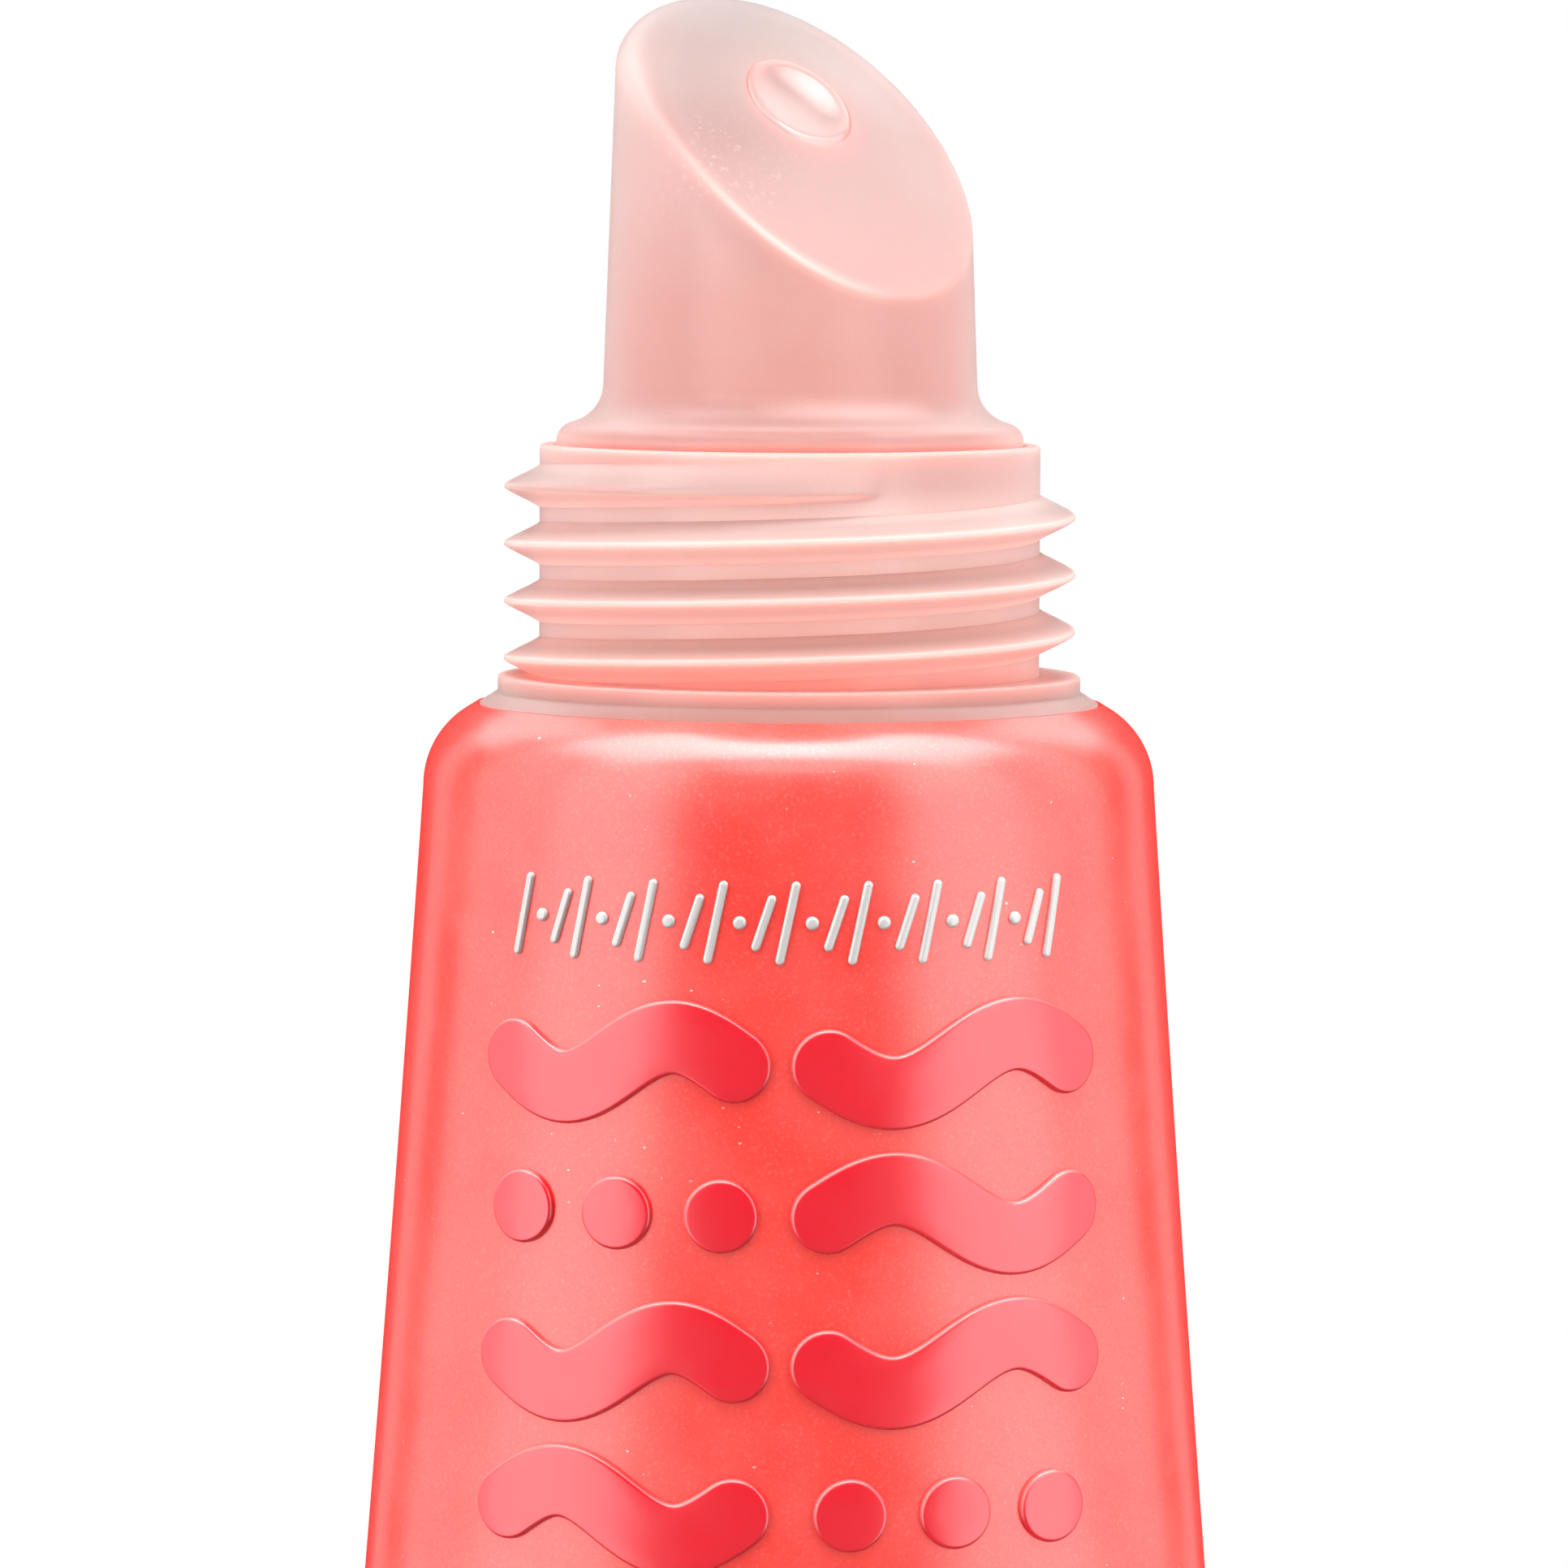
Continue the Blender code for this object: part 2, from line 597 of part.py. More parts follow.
def main():
    clear_scene()
    tube = new_collection("lip_gloss_tube")
    helpers = new_collection("helpers")

    coral = new_material("pearl_coral", (0.93, 0.16, 0.13), 0.32, 0.15)
    natural = new_material("natural_plastic", (0.88, 0.66, 0.61), 0.42)
    tip_plastic = new_material("tip_plastic", (0.90, 0.68, 0.63), 0.38)
    gel = new_material("gloss_gel", (0.90, 0.42, 0.40), 0.05)
    cap_plastic = new_material("cap_plastic", (0.86, 0.12, 0.11), 0.18)
    white = new_material("insert_plastic", (0.90, 0.88, 0.86), 0.45)
    soft = new_material("seal_foam", (0.82, 0.80, 0.77), 0.85)

    sleeve = make_sleeve(tube)
    neck = make_neck(tube, helpers)
    applicator = make_applicator(tube)
    gloss = make_gloss(tube)
    shell = make_cap_shell(tube)
    insert, insert_ridge = make_cap_insert(tube, helpers)
    seal = make_cap_seal(tube)

    finishes = (
        (sleeve, coral), (neck, natural), (applicator, tip_plastic), (gloss, gel),
        (shell, cap_plastic), (insert, white), (seal, soft),
    )
    for piece, material in finishes:
        piece.data.materials.append(material)

    hold_by_empty("cap_axis", (shell, insert, insert_ridge, seal), tube)


main()
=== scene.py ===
"""Looks of the lip gloss tube: fine meshes, materials, studio and camera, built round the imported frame.

Lengths are in millimetres in the frame's axes and are scaled to metres where a mesh is made.
The front faces -Y, +Z runs up the tube, and the cap is drawn lifted off.
"""

import json
import math

import bmesh
import bpy
import numpy as np
from mathutils import Matrix, Vector


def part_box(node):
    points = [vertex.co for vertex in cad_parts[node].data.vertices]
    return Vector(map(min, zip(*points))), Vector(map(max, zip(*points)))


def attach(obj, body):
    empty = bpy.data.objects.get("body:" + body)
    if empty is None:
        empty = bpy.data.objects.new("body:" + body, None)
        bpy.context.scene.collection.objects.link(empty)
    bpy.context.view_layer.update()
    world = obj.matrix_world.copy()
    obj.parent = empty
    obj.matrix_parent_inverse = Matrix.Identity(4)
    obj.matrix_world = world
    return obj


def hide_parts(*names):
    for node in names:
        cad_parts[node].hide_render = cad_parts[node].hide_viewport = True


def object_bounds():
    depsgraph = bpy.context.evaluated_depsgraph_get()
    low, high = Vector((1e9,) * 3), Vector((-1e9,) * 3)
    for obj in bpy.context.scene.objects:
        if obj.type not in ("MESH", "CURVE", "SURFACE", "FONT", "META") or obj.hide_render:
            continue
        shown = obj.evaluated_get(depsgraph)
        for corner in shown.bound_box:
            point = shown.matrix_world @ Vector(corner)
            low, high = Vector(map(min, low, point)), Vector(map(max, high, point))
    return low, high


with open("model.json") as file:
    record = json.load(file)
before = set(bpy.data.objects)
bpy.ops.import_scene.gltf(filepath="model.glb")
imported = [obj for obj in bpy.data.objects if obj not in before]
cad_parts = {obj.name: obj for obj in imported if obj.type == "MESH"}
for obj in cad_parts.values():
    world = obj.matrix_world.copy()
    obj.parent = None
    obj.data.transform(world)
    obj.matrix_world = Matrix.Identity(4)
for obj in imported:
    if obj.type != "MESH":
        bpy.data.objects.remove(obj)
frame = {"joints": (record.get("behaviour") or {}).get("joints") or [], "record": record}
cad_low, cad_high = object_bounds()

MM = 0.001


def node_box(node):
    """Lowest and highest corner of a CAD node, in millimetres."""
    low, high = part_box(node)
    return np.array(low) / MM, np.array(high) / MM


_, sleeve_high = node_box("tube_sleeve")
neck_low, neck_high = node_box("threaded_neck")
tip_low, tip_high = node_box("slant_applicator")
gloss_low, _ = node_box("gloss_fill")
shell_low, shell_high = node_box("cap_shell")
insert_low, insert_high = node_box("cap_insert")
seal_low, seal_high = node_box("cap_seal")

# Sleeve
SLEEVE_RADIUS = float(sleeve_high[1])
CRIMP_HALF_WIDTH = float(sleeve_high[0])
SLEEVE_TOP_Z = float(sleeve_high[2])
SLEEVE_TOP_RADIUS = 8.2
SLEEVE_WALL = 0.5
SHOULDER_ARC_RADIUS = 2.35
SHOULDER_ARC_Z = SLEEVE_TOP_Z - 2.16
SHOULDER_SLOPE = math.radians(29.0)
CRIMP_HEIGHT = 5.0
CRIMP_POWER = 0.12              # section power of the crimp: nearly a rectangle
CRIMP_RIDGES = 9
CRIMP_RIDGE_DEPTH = 0.07
CRIMP_RIDGE_STEPS = 8           # rows of points to a ridge
CRIMP_MARGIN = 0.35             # plain band under and over the ridges
CAVITY_BOTTOM_Z = CRIMP_HEIGHT + 0.9
PARTING_HEIGHT = 7.0            # over the crimp, where the two walls part
WIDTH_CURVE = 3.3e-4            # quadratic part of the half-width, per mm
LENS_SHARPNESS = 0.6            # 0 keeps the section elliptical, 1 makes it a pointed lens
ROW_CROWDING = 1.5              # above 1, rows of points crowd towards the crimp

# Neck and its thread
HAIRLINE = 0.02                 # clearance between shown pieces that touch in the real tube
NECK_RADIUS = 6.55
NECK_TOP_Z = float(neck_high[2])
NECK_BORE_RADIUS = 5.2
NECK_EDGE = 0.1
NECK_SEAT_DEPTH = 0.3
PLUG_WALL = 0.9
PLUG_BOTTOM_Z = float(neck_low[2])
FLANGE_RADIUS = 7.63
FLANGE_EDGE = 0.08
FLANGE_HIGH_Z = NECK_TOP_Z - 6.03
FLANGE_LOW_Z = FLANGE_HIGH_Z - 0.45
PITCH = frame["record"]["behaviour"]["couplings"][0]["ratio"] * math.tau / MM
THREAD_HEIGHT = 0.93
THREAD_FOOT = 0.56              # half-width of the ridge at its foot and at its crest
THREAD_CREST = 0.05
THREAD_STRAIGHT = 0.72          # how much of the flank is straight, the rest being rounded
THREAD_ROWS = [0.06, 0.14, 0.27, 0.4, 0.5, 0.56, 0.62]     # offsets from the crest
THREAD_SWELL = 0.6              # below 1, the ridge rises quickly at its start
THREAD_END_DROP = 0.3           # how far the last of the ridge bends down
THREAD_ANCHOR_Z = NECK_TOP_Z - 4.86
THREAD_START_DEG = -290.0
THREAD_END_DEG = 1010.0
THREAD_FADES_DEG = (50.0, 110.0)        # lengths over which the ridge starts and ends

# Applicator
RIM_RADIUS = float(tip_high[0])
RIM_ROUND = 0.5
RIM_ROUND_END_DEG = 70.0
FILLET_RADIUS = 1.05            # hollow curve from the wall out to the rounded rim
WALL_RADIUS = 4.89
WALL_START_Z = NECK_TOP_Z + 1.6
WALL_DRAFT = math.radians(2.07)
FACE_AXIS_Z = NECK_TOP_Z + 8.83
FACE_HIGH_SIDE = math.radians(129.6)
FACE_SLOPE = math.tan(math.radians(45.7))
FACE_CROWN = 0.4
TIP_ROUND_HIGH = 1.26
TIP_ROUND_LOW = 0.25
ORIFICE_RADIUS = 1.5
ORIFICE_SHIFT = 0.3             # how far down the face's slope the orifice lies, seen from above
EDGE_GLINT = math.radians(-98.0)        # azimuth of the painted glint on the face's rounded edge
EDGE_GLINT_WIDTH = 0.16
EDGE_GLINT_LEVEL = 0.42
FLARE_GLINT = math.radians(-71.0)       # azimuth of the painted glint on the flare under the wall
FLARE_GLINT_Z = NECK_TOP_Z + 1.05
FLARE_GLINT_HEIGHT = 0.25
FLARE_GLINT_LEVEL = 0.22
GRAIN_CENTRE = (-1.6, -3.2, NECK_TOP_Z + 7.5)
GRAIN_REACH = (0.6, 2.6)        # distances over which the grain fades out
STEM_RADIUS = 4.9
STEM_BORE_RADIUS = 3.9
STEM_EDGE = 0.5
STEM_BOTTOM_Z = float(tip_low[2])
HOLLOW_RADIUS = 3.6
CHANNEL_BOTTOM_Z = WALL_START_Z + 1.9
GLOSS_GAP = 0.1                 # from the gloss to the walls that hold it

# Cap, from its lifted place
CAP_RADIUS = float(shell_high[0])
CAP_MOUTH_Z = float(shell_low[2])
CAP_TOP_Z = float(shell_high[2])
CAP_LIFT = -frame["joints"][0]["range_m"][0] / MM
CAP_WALL = 0.6
CAP_TOP_THICKNESS = 1.1
CAP_EDGE_ROUND = 1.2
CAP_LIP = 0.2
CAP_INNER_LIP = 0.15
CAP_GROOVE_Z = CAP_MOUTH_Z + 1.25       # fine groove round the cap above its mouth
CAP_GROOVE_RADIUS = 0.12
CAP_GROOVE_HALF_HEIGHT = 0.25
INSERT_CLEARANCE = 0.32         # from the insert's thread to the neck's
INSERT_THREAD_START_DEG = -290.0
INSERT_THREAD_END_DEG = 705.0
INSERT_THREAD_FADES_DEG = (50.0, 50.0)
INSERT_LEDGE_RADIUS = 6.5       # ledge that carries the seal
INSERT_GROOVE_RADIUS = 7.0
INSERT_SHEATH_WALL = 1.0
INSERT_TOP_THICKNESS = 0.8
INSERT_EDGE = 0.15
SEAL_INNER_RADIUS = 5.4
SEAL_LOW_Z = float(seal_low[2])
SEAL_HIGH_Z = float(seal_high[2])
SEAL_GAP = 0.15
SEAL_EDGE = 0.05
SEAL_BEVEL = 0.2

# Raised print on the front
WRAP_STEP_Z = 0.5               # steps of the table that wraps flat patterns round the sleeve
WRAP_STEP_ACROSS = 0.05
WRAP_REACH_MAX = 12.0
PRINT_ROOT = -0.2               # where a stroke starts under the surface, as a share of its height
PRINT_PAINTED_LIGHT_SIDE = (-0.6, 0.8)         # direction across the pattern towards the painted highlight on the strokes' edges, with painted shade opposite
WAVE_RADIUS = 0.95
WAVE_TOP_Z = SLEEVE_TOP_Z - 8.6
WAVE_SPACING = 3.86
WAVE_ROWS = 13
WAVE_SWING = 0.7
WAVE_STEP = 0.16
WAVE_COLUMNS = ((-7.5, -1.35, 0), (1.05, 7.75, 2))      # left end, right end, phase of its bubbles
BUBBLE_SPACING = 2.75
DASH_Z = SLEEVE_TOP_Z - 4.95
DASH_STEP = 0.61
DASH_RADIUS = 0.115
DASH_LEAN = 0.2
DASH_RISE = 0.6
LONG_DASH_RISE = 0.95
DASHES_A_SIDE = 12
DOT_RADIUS = 0.17

# Points round a turn
SLEEVE_POINTS = 256
CAP_POINTS = 256
TURN_POINTS = 192
SEAL_POINTS = 128
GLOSS_POINTS = 96


# ------------------------ meshes

def make_object(name, points, faces, sharp_deg=40.0, merge=1e-4, edge=None):
    """A smooth-shaded mesh object from points in millimetres, with doubled points merged.

    edge is one number a point, kept as the attribute by which the materials paint highlights, shade and
    glints onto edges.
    """
    bm = bmesh.new()
    layer = bm.verts.layers.float.new("edge")
    verts = [bm.verts.new(p) for p in np.asarray(points, float) * MM]
    for vert, value in zip(verts, () if edge is None else edge):
        vert[layer] = value
    for face in faces:
        bm.faces.new([verts[i] for i in face])
    bmesh.ops.remove_doubles(bm, verts=bm.verts, dist=merge * MM)
    bmesh.ops.dissolve_degenerate(bm, edges=bm.edges, dist=merge * MM)
    bmesh.ops.recalc_face_normals(bm, faces=bm.faces)
    mesh = bpy.data.meshes.new(name)
    bm.to_mesh(mesh)
    bm.free()
    mesh.shade_smooth()
    mesh.set_sharp_from_angle(angle=math.radians(sharp_deg))
    piece = bpy.data.objects.new(name, mesh)
    bpy.context.scene.collection.objects.link(piece)
    return piece


def grid_faces(rows, columns, start=0):
    """Quads over rows of points, each row closed into a ring."""
    faces = []
    for r in range(rows - 1):
        for c in range(columns):
            d = (c + 1) % columns
            a = start + r * columns
            b = a + columns
            faces.append((a + c, a + d, b + d, b + c))
    return faces


def ring_piece(name, rings, closed=False, sharp_deg=40.0, edge=None):
    """A body through rings of equal counts.

    closed joins its last ring to its first; otherwise both are capped.
    """
    rings = [np.asarray(ring, float) for ring in rings]
    count = len(rings[0])
    if closed:
        rings.append(rings[0])
    faces = grid_faces(len(rings), count)
    if not closed:
        last = (len(rings) - 1) * count
        faces.append(tuple(range(count))[::-1])
        faces.append(tuple(range(last, last + count)))
    if edge is not None:
        edge = np.concatenate(edge + edge[:1] if closed else edge)
    return make_object(name, np.concatenate(rings), faces, sharp_deg, edge=edge)


def turn_angles(count):
    return np.arange(count) * math.tau / count


def round_ring(azimuth, radius, z):
    """Points round the axis, at one radius and height or at one for each azimuth."""
    return np.stack([radius * np.cos(azimuth), radius * np.sin(azimuth), z + 0.0 * azimuth], 1)


def arc(centre_r, centre_z, radius, start_deg, end_deg, steps):
    """Profile points along an arc, both ends included, as (radius, height)."""
    angles = np.radians(np.linspace(start_deg, end_deg, steps + 1))
    return [(centre_r + radius * math.cos(a), centre_z + radius * math.sin(a)) for a in angles]


def profile_rings(profile, count):
    return [round_ring(turn_angles(count), max(r, 1e-5), z) for r, z in profile]


def turned_piece(name, profile, count, closed=True):
    """A turned body from a profile of (radius, height)."""
    return ring_piece(name, profile_rings(profile, count), closed)


# ------------------------ sleeve shape

def half_width(z):
    """Half of the sleeve's width below its shoulder."""
    length = SHOULDER_ARC_Z - CRIMP_HEIGHT
    below = SHOULDER_ARC_Z - z
    slope = (CRIMP_HALF_WIDTH - SLEEVE_RADIUS) / length - WIDTH_CURVE * length
    return np.minimum(CRIMP_HALF_WIDTH, SLEEVE_RADIUS + slope * below + WIDTH_CURVE * below ** 2)


def lens_power(z):
    """How pointed the section is: 1 is an ellipse."""
    share = (SHOULDER_ARC_Z - z) / (SHOULDER_ARC_Z - CRIMP_HEIGHT)
    return 1.0 + LENS_SHARPNESS * np.maximum(0.0, share) ** 2


def section(width, depth, power, angles):
    side = np.sin(angles)
    return width * np.cos(angles), depth * np.sign(side) * np.abs(side) ** power


def solve_half_depth(z):
    """Half of the sleeve's depth, found so that its girth never changes."""
    width, power = half_width(z), lens_power(z)
    angles = np.linspace(0.0, math.pi / 2, 200)
    low, high = 0.0, SLEEVE_RADIUS
    for _ in range(40):
        middle = (low + high) / 2
        x, y = section(width, middle, power, angles)
        girth = 4 * np.hypot(np.diff(x), np.diff(y)).sum()
        if girth < math.tau * SLEEVE_RADIUS:
            low = middle
        else:
            high = middle
    return middle


TABLE_Z = np.linspace(CRIMP_HEIGHT, SHOULDER_ARC_Z, 400)
TABLE_DEPTH = np.array([solve_half_depth(z) for z in TABLE_Z])


def smoothstep(x):
    x = np.clip(x, 0.0, 1.0)
    return x * x * (3 - 2 * x)


def sleeve_section(z):
    """(half-width, half-depth, power) of the outside of the sleeve below its shoulder.

    Just above the crimp the two walls part, so the section turns from a flat bar into a lens.
    """
    parted = smoothstep((z - CRIMP_HEIGHT) / PARTING_HEIGHT)
    power = CRIMP_POWER + (lens_power(z) - CRIMP_POWER) * np.sqrt(parted)
    solved = np.interp(z, TABLE_Z, TABLE_DEPTH)
    pressed = np.hypot(SLEEVE_WALL, solved)
    return half_width(z), pressed + (solved - pressed) * parted, power


def section_ring(width, depth, power, z, count):
    x, y = section(width, depth, power, turn_angles(count))
    return np.stack([x, y, np.full(count, z)], 1)


def sleeve_ring(z, inset, count):
    width, depth, power = sleeve_section(z)
    return section_ring(width - inset, depth - inset, power, z, count)


def shoulder_profile(inset, steps):
    """The sleeve's rounded shoulder, from its straight side up to its edge."""
    centre = SLEEVE_RADIUS - SHOULDER_ARC_RADIUS
    steep = 90.0 - math.degrees(SHOULDER_SLOPE)
    points = arc(centre, SHOULDER_ARC_Z, SHOULDER_ARC_RADIUS - inset, 0.0, steep, steps)
    edge_r = SLEEVE_TOP_RADIUS - inset * math.sin(SHOULDER_SLOPE)
    edge_z = SLEEVE_TOP_Z - inset * math.cos(SHOULDER_SLOPE)
    return points + [(edge_r, edge_z)]


def crimp_rings(count):
    """The heat-sealed band, with shallow ridges pressed across it."""
    rings = []
    steps = CRIMP_RIDGES * CRIMP_RIDGE_STEPS
    for i in range(steps + 1):
        share = i / steps
        z = CRIMP_MARGIN + share * (CRIMP_HEIGHT - 2 * CRIMP_MARGIN)
        wave = 0.5 - 0.5 * math.cos(math.tau * CRIMP_RIDGES * share)
        depth = SLEEVE_WALL - CRIMP_RIDGE_DEPTH * wave
        rings.append(section_ring(CRIMP_HALF_WIDTH, depth, CRIMP_POWER, z, count))
    return rings


def make_sleeve():
    count = SLEEVE_POINTS
    bottom = sleeve_ring(CRIMP_HEIGHT, 0.0, count)
    bottom[:, 2] = 0.0
    outside = SHOULDER_ARC_Z - CRIMP_HEIGHT
    inside = SHOULDER_ARC_Z - CAVITY_BOTTOM_Z
    upwards = CRIMP_HEIGHT + outside * np.linspace(0, 1, 70) ** ROW_CROWDING
    downwards = CAVITY_BOTTOM_Z + inside * np.linspace(1, 0, 24)[1:] ** ROW_CROWDING
    rings = [bottom] + crimp_rings(count)
    rings += [sleeve_ring(z, 0.0, count) for z in upwards]
    rings += profile_rings(shoulder_profile(0.0, 16)[1:], count)
    rings += profile_rings(shoulder_profile(SLEEVE_WALL, 8)[::-1], count)
    rings += [sleeve_ring(z, SLEEVE_WALL, count) for z in downwards]
    return ring_piece("sleeve", rings, sharp_deg=50.0)


# ------------------------ thread

def ridge_shape(offset):
    """Height of the thread, as a share, at an axial offset in millimetres from its crest."""
    share = (abs(offset) - THREAD_CREST) / (THREAD_FOOT - THREAD_CREST)
    share = min(1.0, max(0.0, share))
    return 1.0 - (THREAD_STRAIGHT * share + (1 - THREAD_STRAIGHT) * smoothstep(share))


def thread_wall(radius, outward, low_z, high_z, shift, start, end, fades):
    """Points and faces of a round wall with a helical ridge, cut off level at both ends.

    Its rows follow the thread, so that crests and flanks stay crisp all the way round.
    outward is 1 for a ridge on the outside and -1 on the inside; angles are in degrees.
    """
    count = TURN_POINTS
    fade_start, fade_end = fades
    above = THREAD_ROWS + [PITCH / 2]
    offsets = [-v for v in reversed(above)] + [0.0] + above
    first = math.floor((low_z - THREAD_ANCHOR_Z - shift) / PITCH - 1.0)
    last = math.ceil((high_z - THREAD_ANCHOR_Z - shift) / PITCH + 1.0)
    points, faces = [], []
    columns = (last - first) * count + 1
    for i in range(columns):
        turn = first + i / count
        degrees = turn * 360.0
        grow = min((degrees - start) / fade_start, (end - degrees) / fade_end)
        height = THREAD_HEIGHT * max(0.0, min(1.0, grow)) ** THREAD_SWELL
        drop = THREAD_END_DROP * (1.0 - smoothstep((end - degrees) / fade_end))
        middle = THREAD_ANCHOR_Z + shift + PITCH * turn
        angle = turn * math.tau
        for offset in offsets:
            z = min(high_z, max(low_z, middle + offset - drop * ridge_shape(offset)))
            r = radius + outward * height * ridge_shape(offset)
            if z in (low_z, high_z):
                r = radius
            points.append((r * math.cos(angle), r * math.sin(angle), z))
    rows = len(offsets)
    for i in range(columns - 1):
        for j in range(rows - 1):
            a = i * rows + j
            b = a + rows
            faces.append((a, b, b + 1, a + 1))
    return points, faces


def threaded_piece(name, wall, profile):
    """A turned body whose profile runs from the top of a threaded wall round to its foot."""
    points, faces = wall
    rings = profile_rings(profile, TURN_POINTS)
    faces = faces + grid_faces(len(rings), TURN_POINTS, len(points))
    points = points + [tuple(p) for ring in rings for p in ring]
    return make_object(name, points, faces, sharp_deg=42.0)


def make_neck():
    low, high = FLANGE_HIGH_Z, NECK_TOP_Z - NECK_EDGE
    wall = thread_wall(NECK_RADIUS, 1.0, low, high, 0.0, THREAD_START_DEG, THREAD_END_DEG,
                       THREAD_FADES_DEG)
    plug = SLEEVE_RADIUS - SLEEVE_WALL - HAIRLINE
    seat = RIM_RADIUS + 2 * HAIRLINE
    profile = arc(NECK_RADIUS - NECK_EDGE, high, NECK_EDGE, 0.0, 90.0, 4)
    profile += [
        (seat + 0.08, NECK_TOP_Z),
        (seat, NECK_TOP_Z - 0.08),
        (seat, NECK_TOP_Z - NECK_SEAT_DEPTH),
        (NECK_BORE_RADIUS, NECK_TOP_Z - NECK_SEAT_DEPTH),
        (NECK_BORE_RADIUS, SHOULDER_ARC_Z + 1.2),
        (NECK_BORE_RADIUS + 0.6, SHOULDER_ARC_Z + 0.6),
        (plug - PLUG_WALL, SHOULDER_ARC_Z - 0.4),
        (plug - PLUG_WALL, PLUG_BOTTOM_Z),
        (plug, PLUG_BOTTOM_Z),
    ]
    profile += shoulder_profile(SLEEVE_WALL + HAIRLINE, 6)[:-1]
    profile += [
        (SLEEVE_TOP_RADIUS - 0.12, SLEEVE_TOP_Z - 0.3),
        (SLEEVE_TOP_RADIUS - 0.1, SLEEVE_TOP_Z + 0.01),
        (FLANGE_RADIUS + 0.12, FLANGE_LOW_Z - 0.05),
        (FLANGE_RADIUS + 0.03, FLANGE_LOW_Z),
        (FLANGE_RADIUS, FLANGE_LOW_Z + 0.04),
    ]
    profile += arc(FLANGE_RADIUS - FLANGE_EDGE, FLANGE_HIGH_Z - FLANGE_EDGE, FLANGE_EDGE, 0.0, 90.0, 4)
    profile += [(NECK_RADIUS + 0.1, FLANGE_HIGH_Z), (NECK_RADIUS, FLANGE_HIGH_Z)]
    return threaded_piece("neck", wall, profile)


# ------------------------ applicator

def rim_arc(lean, share):
    """(radius, height) on the rounded edge between the wall and the slanted face.

    lean is 1 towards the face's high side; share runs from 0 on the wall to 1 on the face.
    """
    draft = math.tan(WALL_DRAFT)
    slope = FACE_SLOPE * lean
    corner_r = (WALL_RADIUS - draft * (FACE_AXIS_Z - WALL_START_Z)) / (1 + draft * slope)
    corner_z = FACE_AXIS_Z + corner_r * slope
    length = np.hypot(1.0, slope)
    inward_r, inward_z = -1.0 / length, -slope / length
    down_r, down_z = math.sin(WALL_DRAFT), -math.cos(WALL_DRAFT)
    half = np.arccos(down_r * inward_r + down_z * inward_z) / 2
    middle_r, middle_z = down_r + inward_r, down_z + inward_z
    radius = (TIP_ROUND_HIGH + TIP_ROUND_LOW) / 2 + (TIP_ROUND_HIGH - TIP_ROUND_LOW) / 2 * lean
    reach = radius / np.sin(half) / np.hypot(middle_r, middle_z)
    angle = WALL_DRAFT + (math.pi - 2 * half) * share
    return (corner_r + middle_r * reach + radius * np.cos(angle),
            corner_z + middle_z * reach + radius * np.sin(angle))


def orifice_point(azimuth, inset):
    """Plan position on the edge of the orifice, which is round in the slanted face."""
    lean = np.cos(azimuth - FACE_HIGH_SIDE)
    along = ORIFICE_RADIUS / math.hypot(1.0, FACE_SLOPE) - inset
    across = ORIFICE_RADIUS - inset
    r = 1.0 / np.sqrt((lean / along) ** 2 + (1.0 - lean ** 2) / across ** 2)
    centre_x = -ORIFICE_SHIFT * math.cos(FACE_HIGH_SIDE)
    centre_y = -ORIFICE_SHIFT * math.sin(FACE_HIGH_SIDE)
    return centre_x + r * np.cos(azimuth), centre_y + r * np.sin(azimuth)


def face_height(x, y):
    """Height of the slanted plane over a plan position."""
    uphill = x * math.cos(FACE_HIGH_SIDE) + y * math.sin(FACE_HIGH_SIDE)
    return FACE_AXIS_Z + FACE_SLOPE * uphill


def face_ring(azimuth, share):
    """A ring on the crowned face, from its edge (share 0) to the orifice (share 1)."""
    rim_r, _ = rim_arc(np.cos(azimuth - FACE_HIGH_SIDE), 1.0)
    end_x, end_y = orifice_point(azimuth, -0.07)
    x = rim_r * np.cos(azimuth) * (1 - share) + end_x * share
    y = rim_r * np.sin(azimuth) * (1 - share) + end_y * share
    crown = FACE_CROWN * (1 - (1 - share) ** 2) ** 2
    return np.stack([x, y, face_height(x, y) + crown], 1)


def orifice_ring(azimuth, inset, rise):
    x, y = orifice_point(azimuth, inset)
    return np.stack([x, y, face_height(x, y) + FACE_CROWN + rise], 1)


def glint(azimuth, middle, waves):
    """A painted glint that is 1 at its middle azimuth and fades at both sides; more waves make it
    narrower.
    """
    level = np.clip(np.cos(waves * (azimuth - middle)), 0.0, 1.0)
    level[np.cos(azimuth - middle) < 0.5] = 0.0
    return level


def tip_edges(rings, azimuth, lean):
    """How strongly each point gets a painted glint: the front of the face's rounded edge, and a patch on
    the flare.
    """
    rim_r, rim_z = rim_arc(lean, 0.5)
    edge_glint = EDGE_GLINT_LEVEL * glint(azimuth, EDGE_GLINT, 2.0)
    flare_glint = FLARE_GLINT_LEVEL * glint(azimuth, FLARE_GLINT, 3.0)
    values = []
    for ring in rings:
        ring_r = np.hypot(ring[:, 0], ring[:, 1])
        away = np.hypot(ring_r - rim_r, ring[:, 2] - rim_z) / EDGE_GLINT_WIDTH
        up = (ring[:, 2] - FLARE_GLINT_Z) / FLARE_GLINT_HEIGHT
        on_flare = flare_glint * np.exp(-up ** 2) * (ring_r > WALL_RADIUS)
        values.append(edge_glint * np.exp(-away ** 2) + on_flare)
    return values


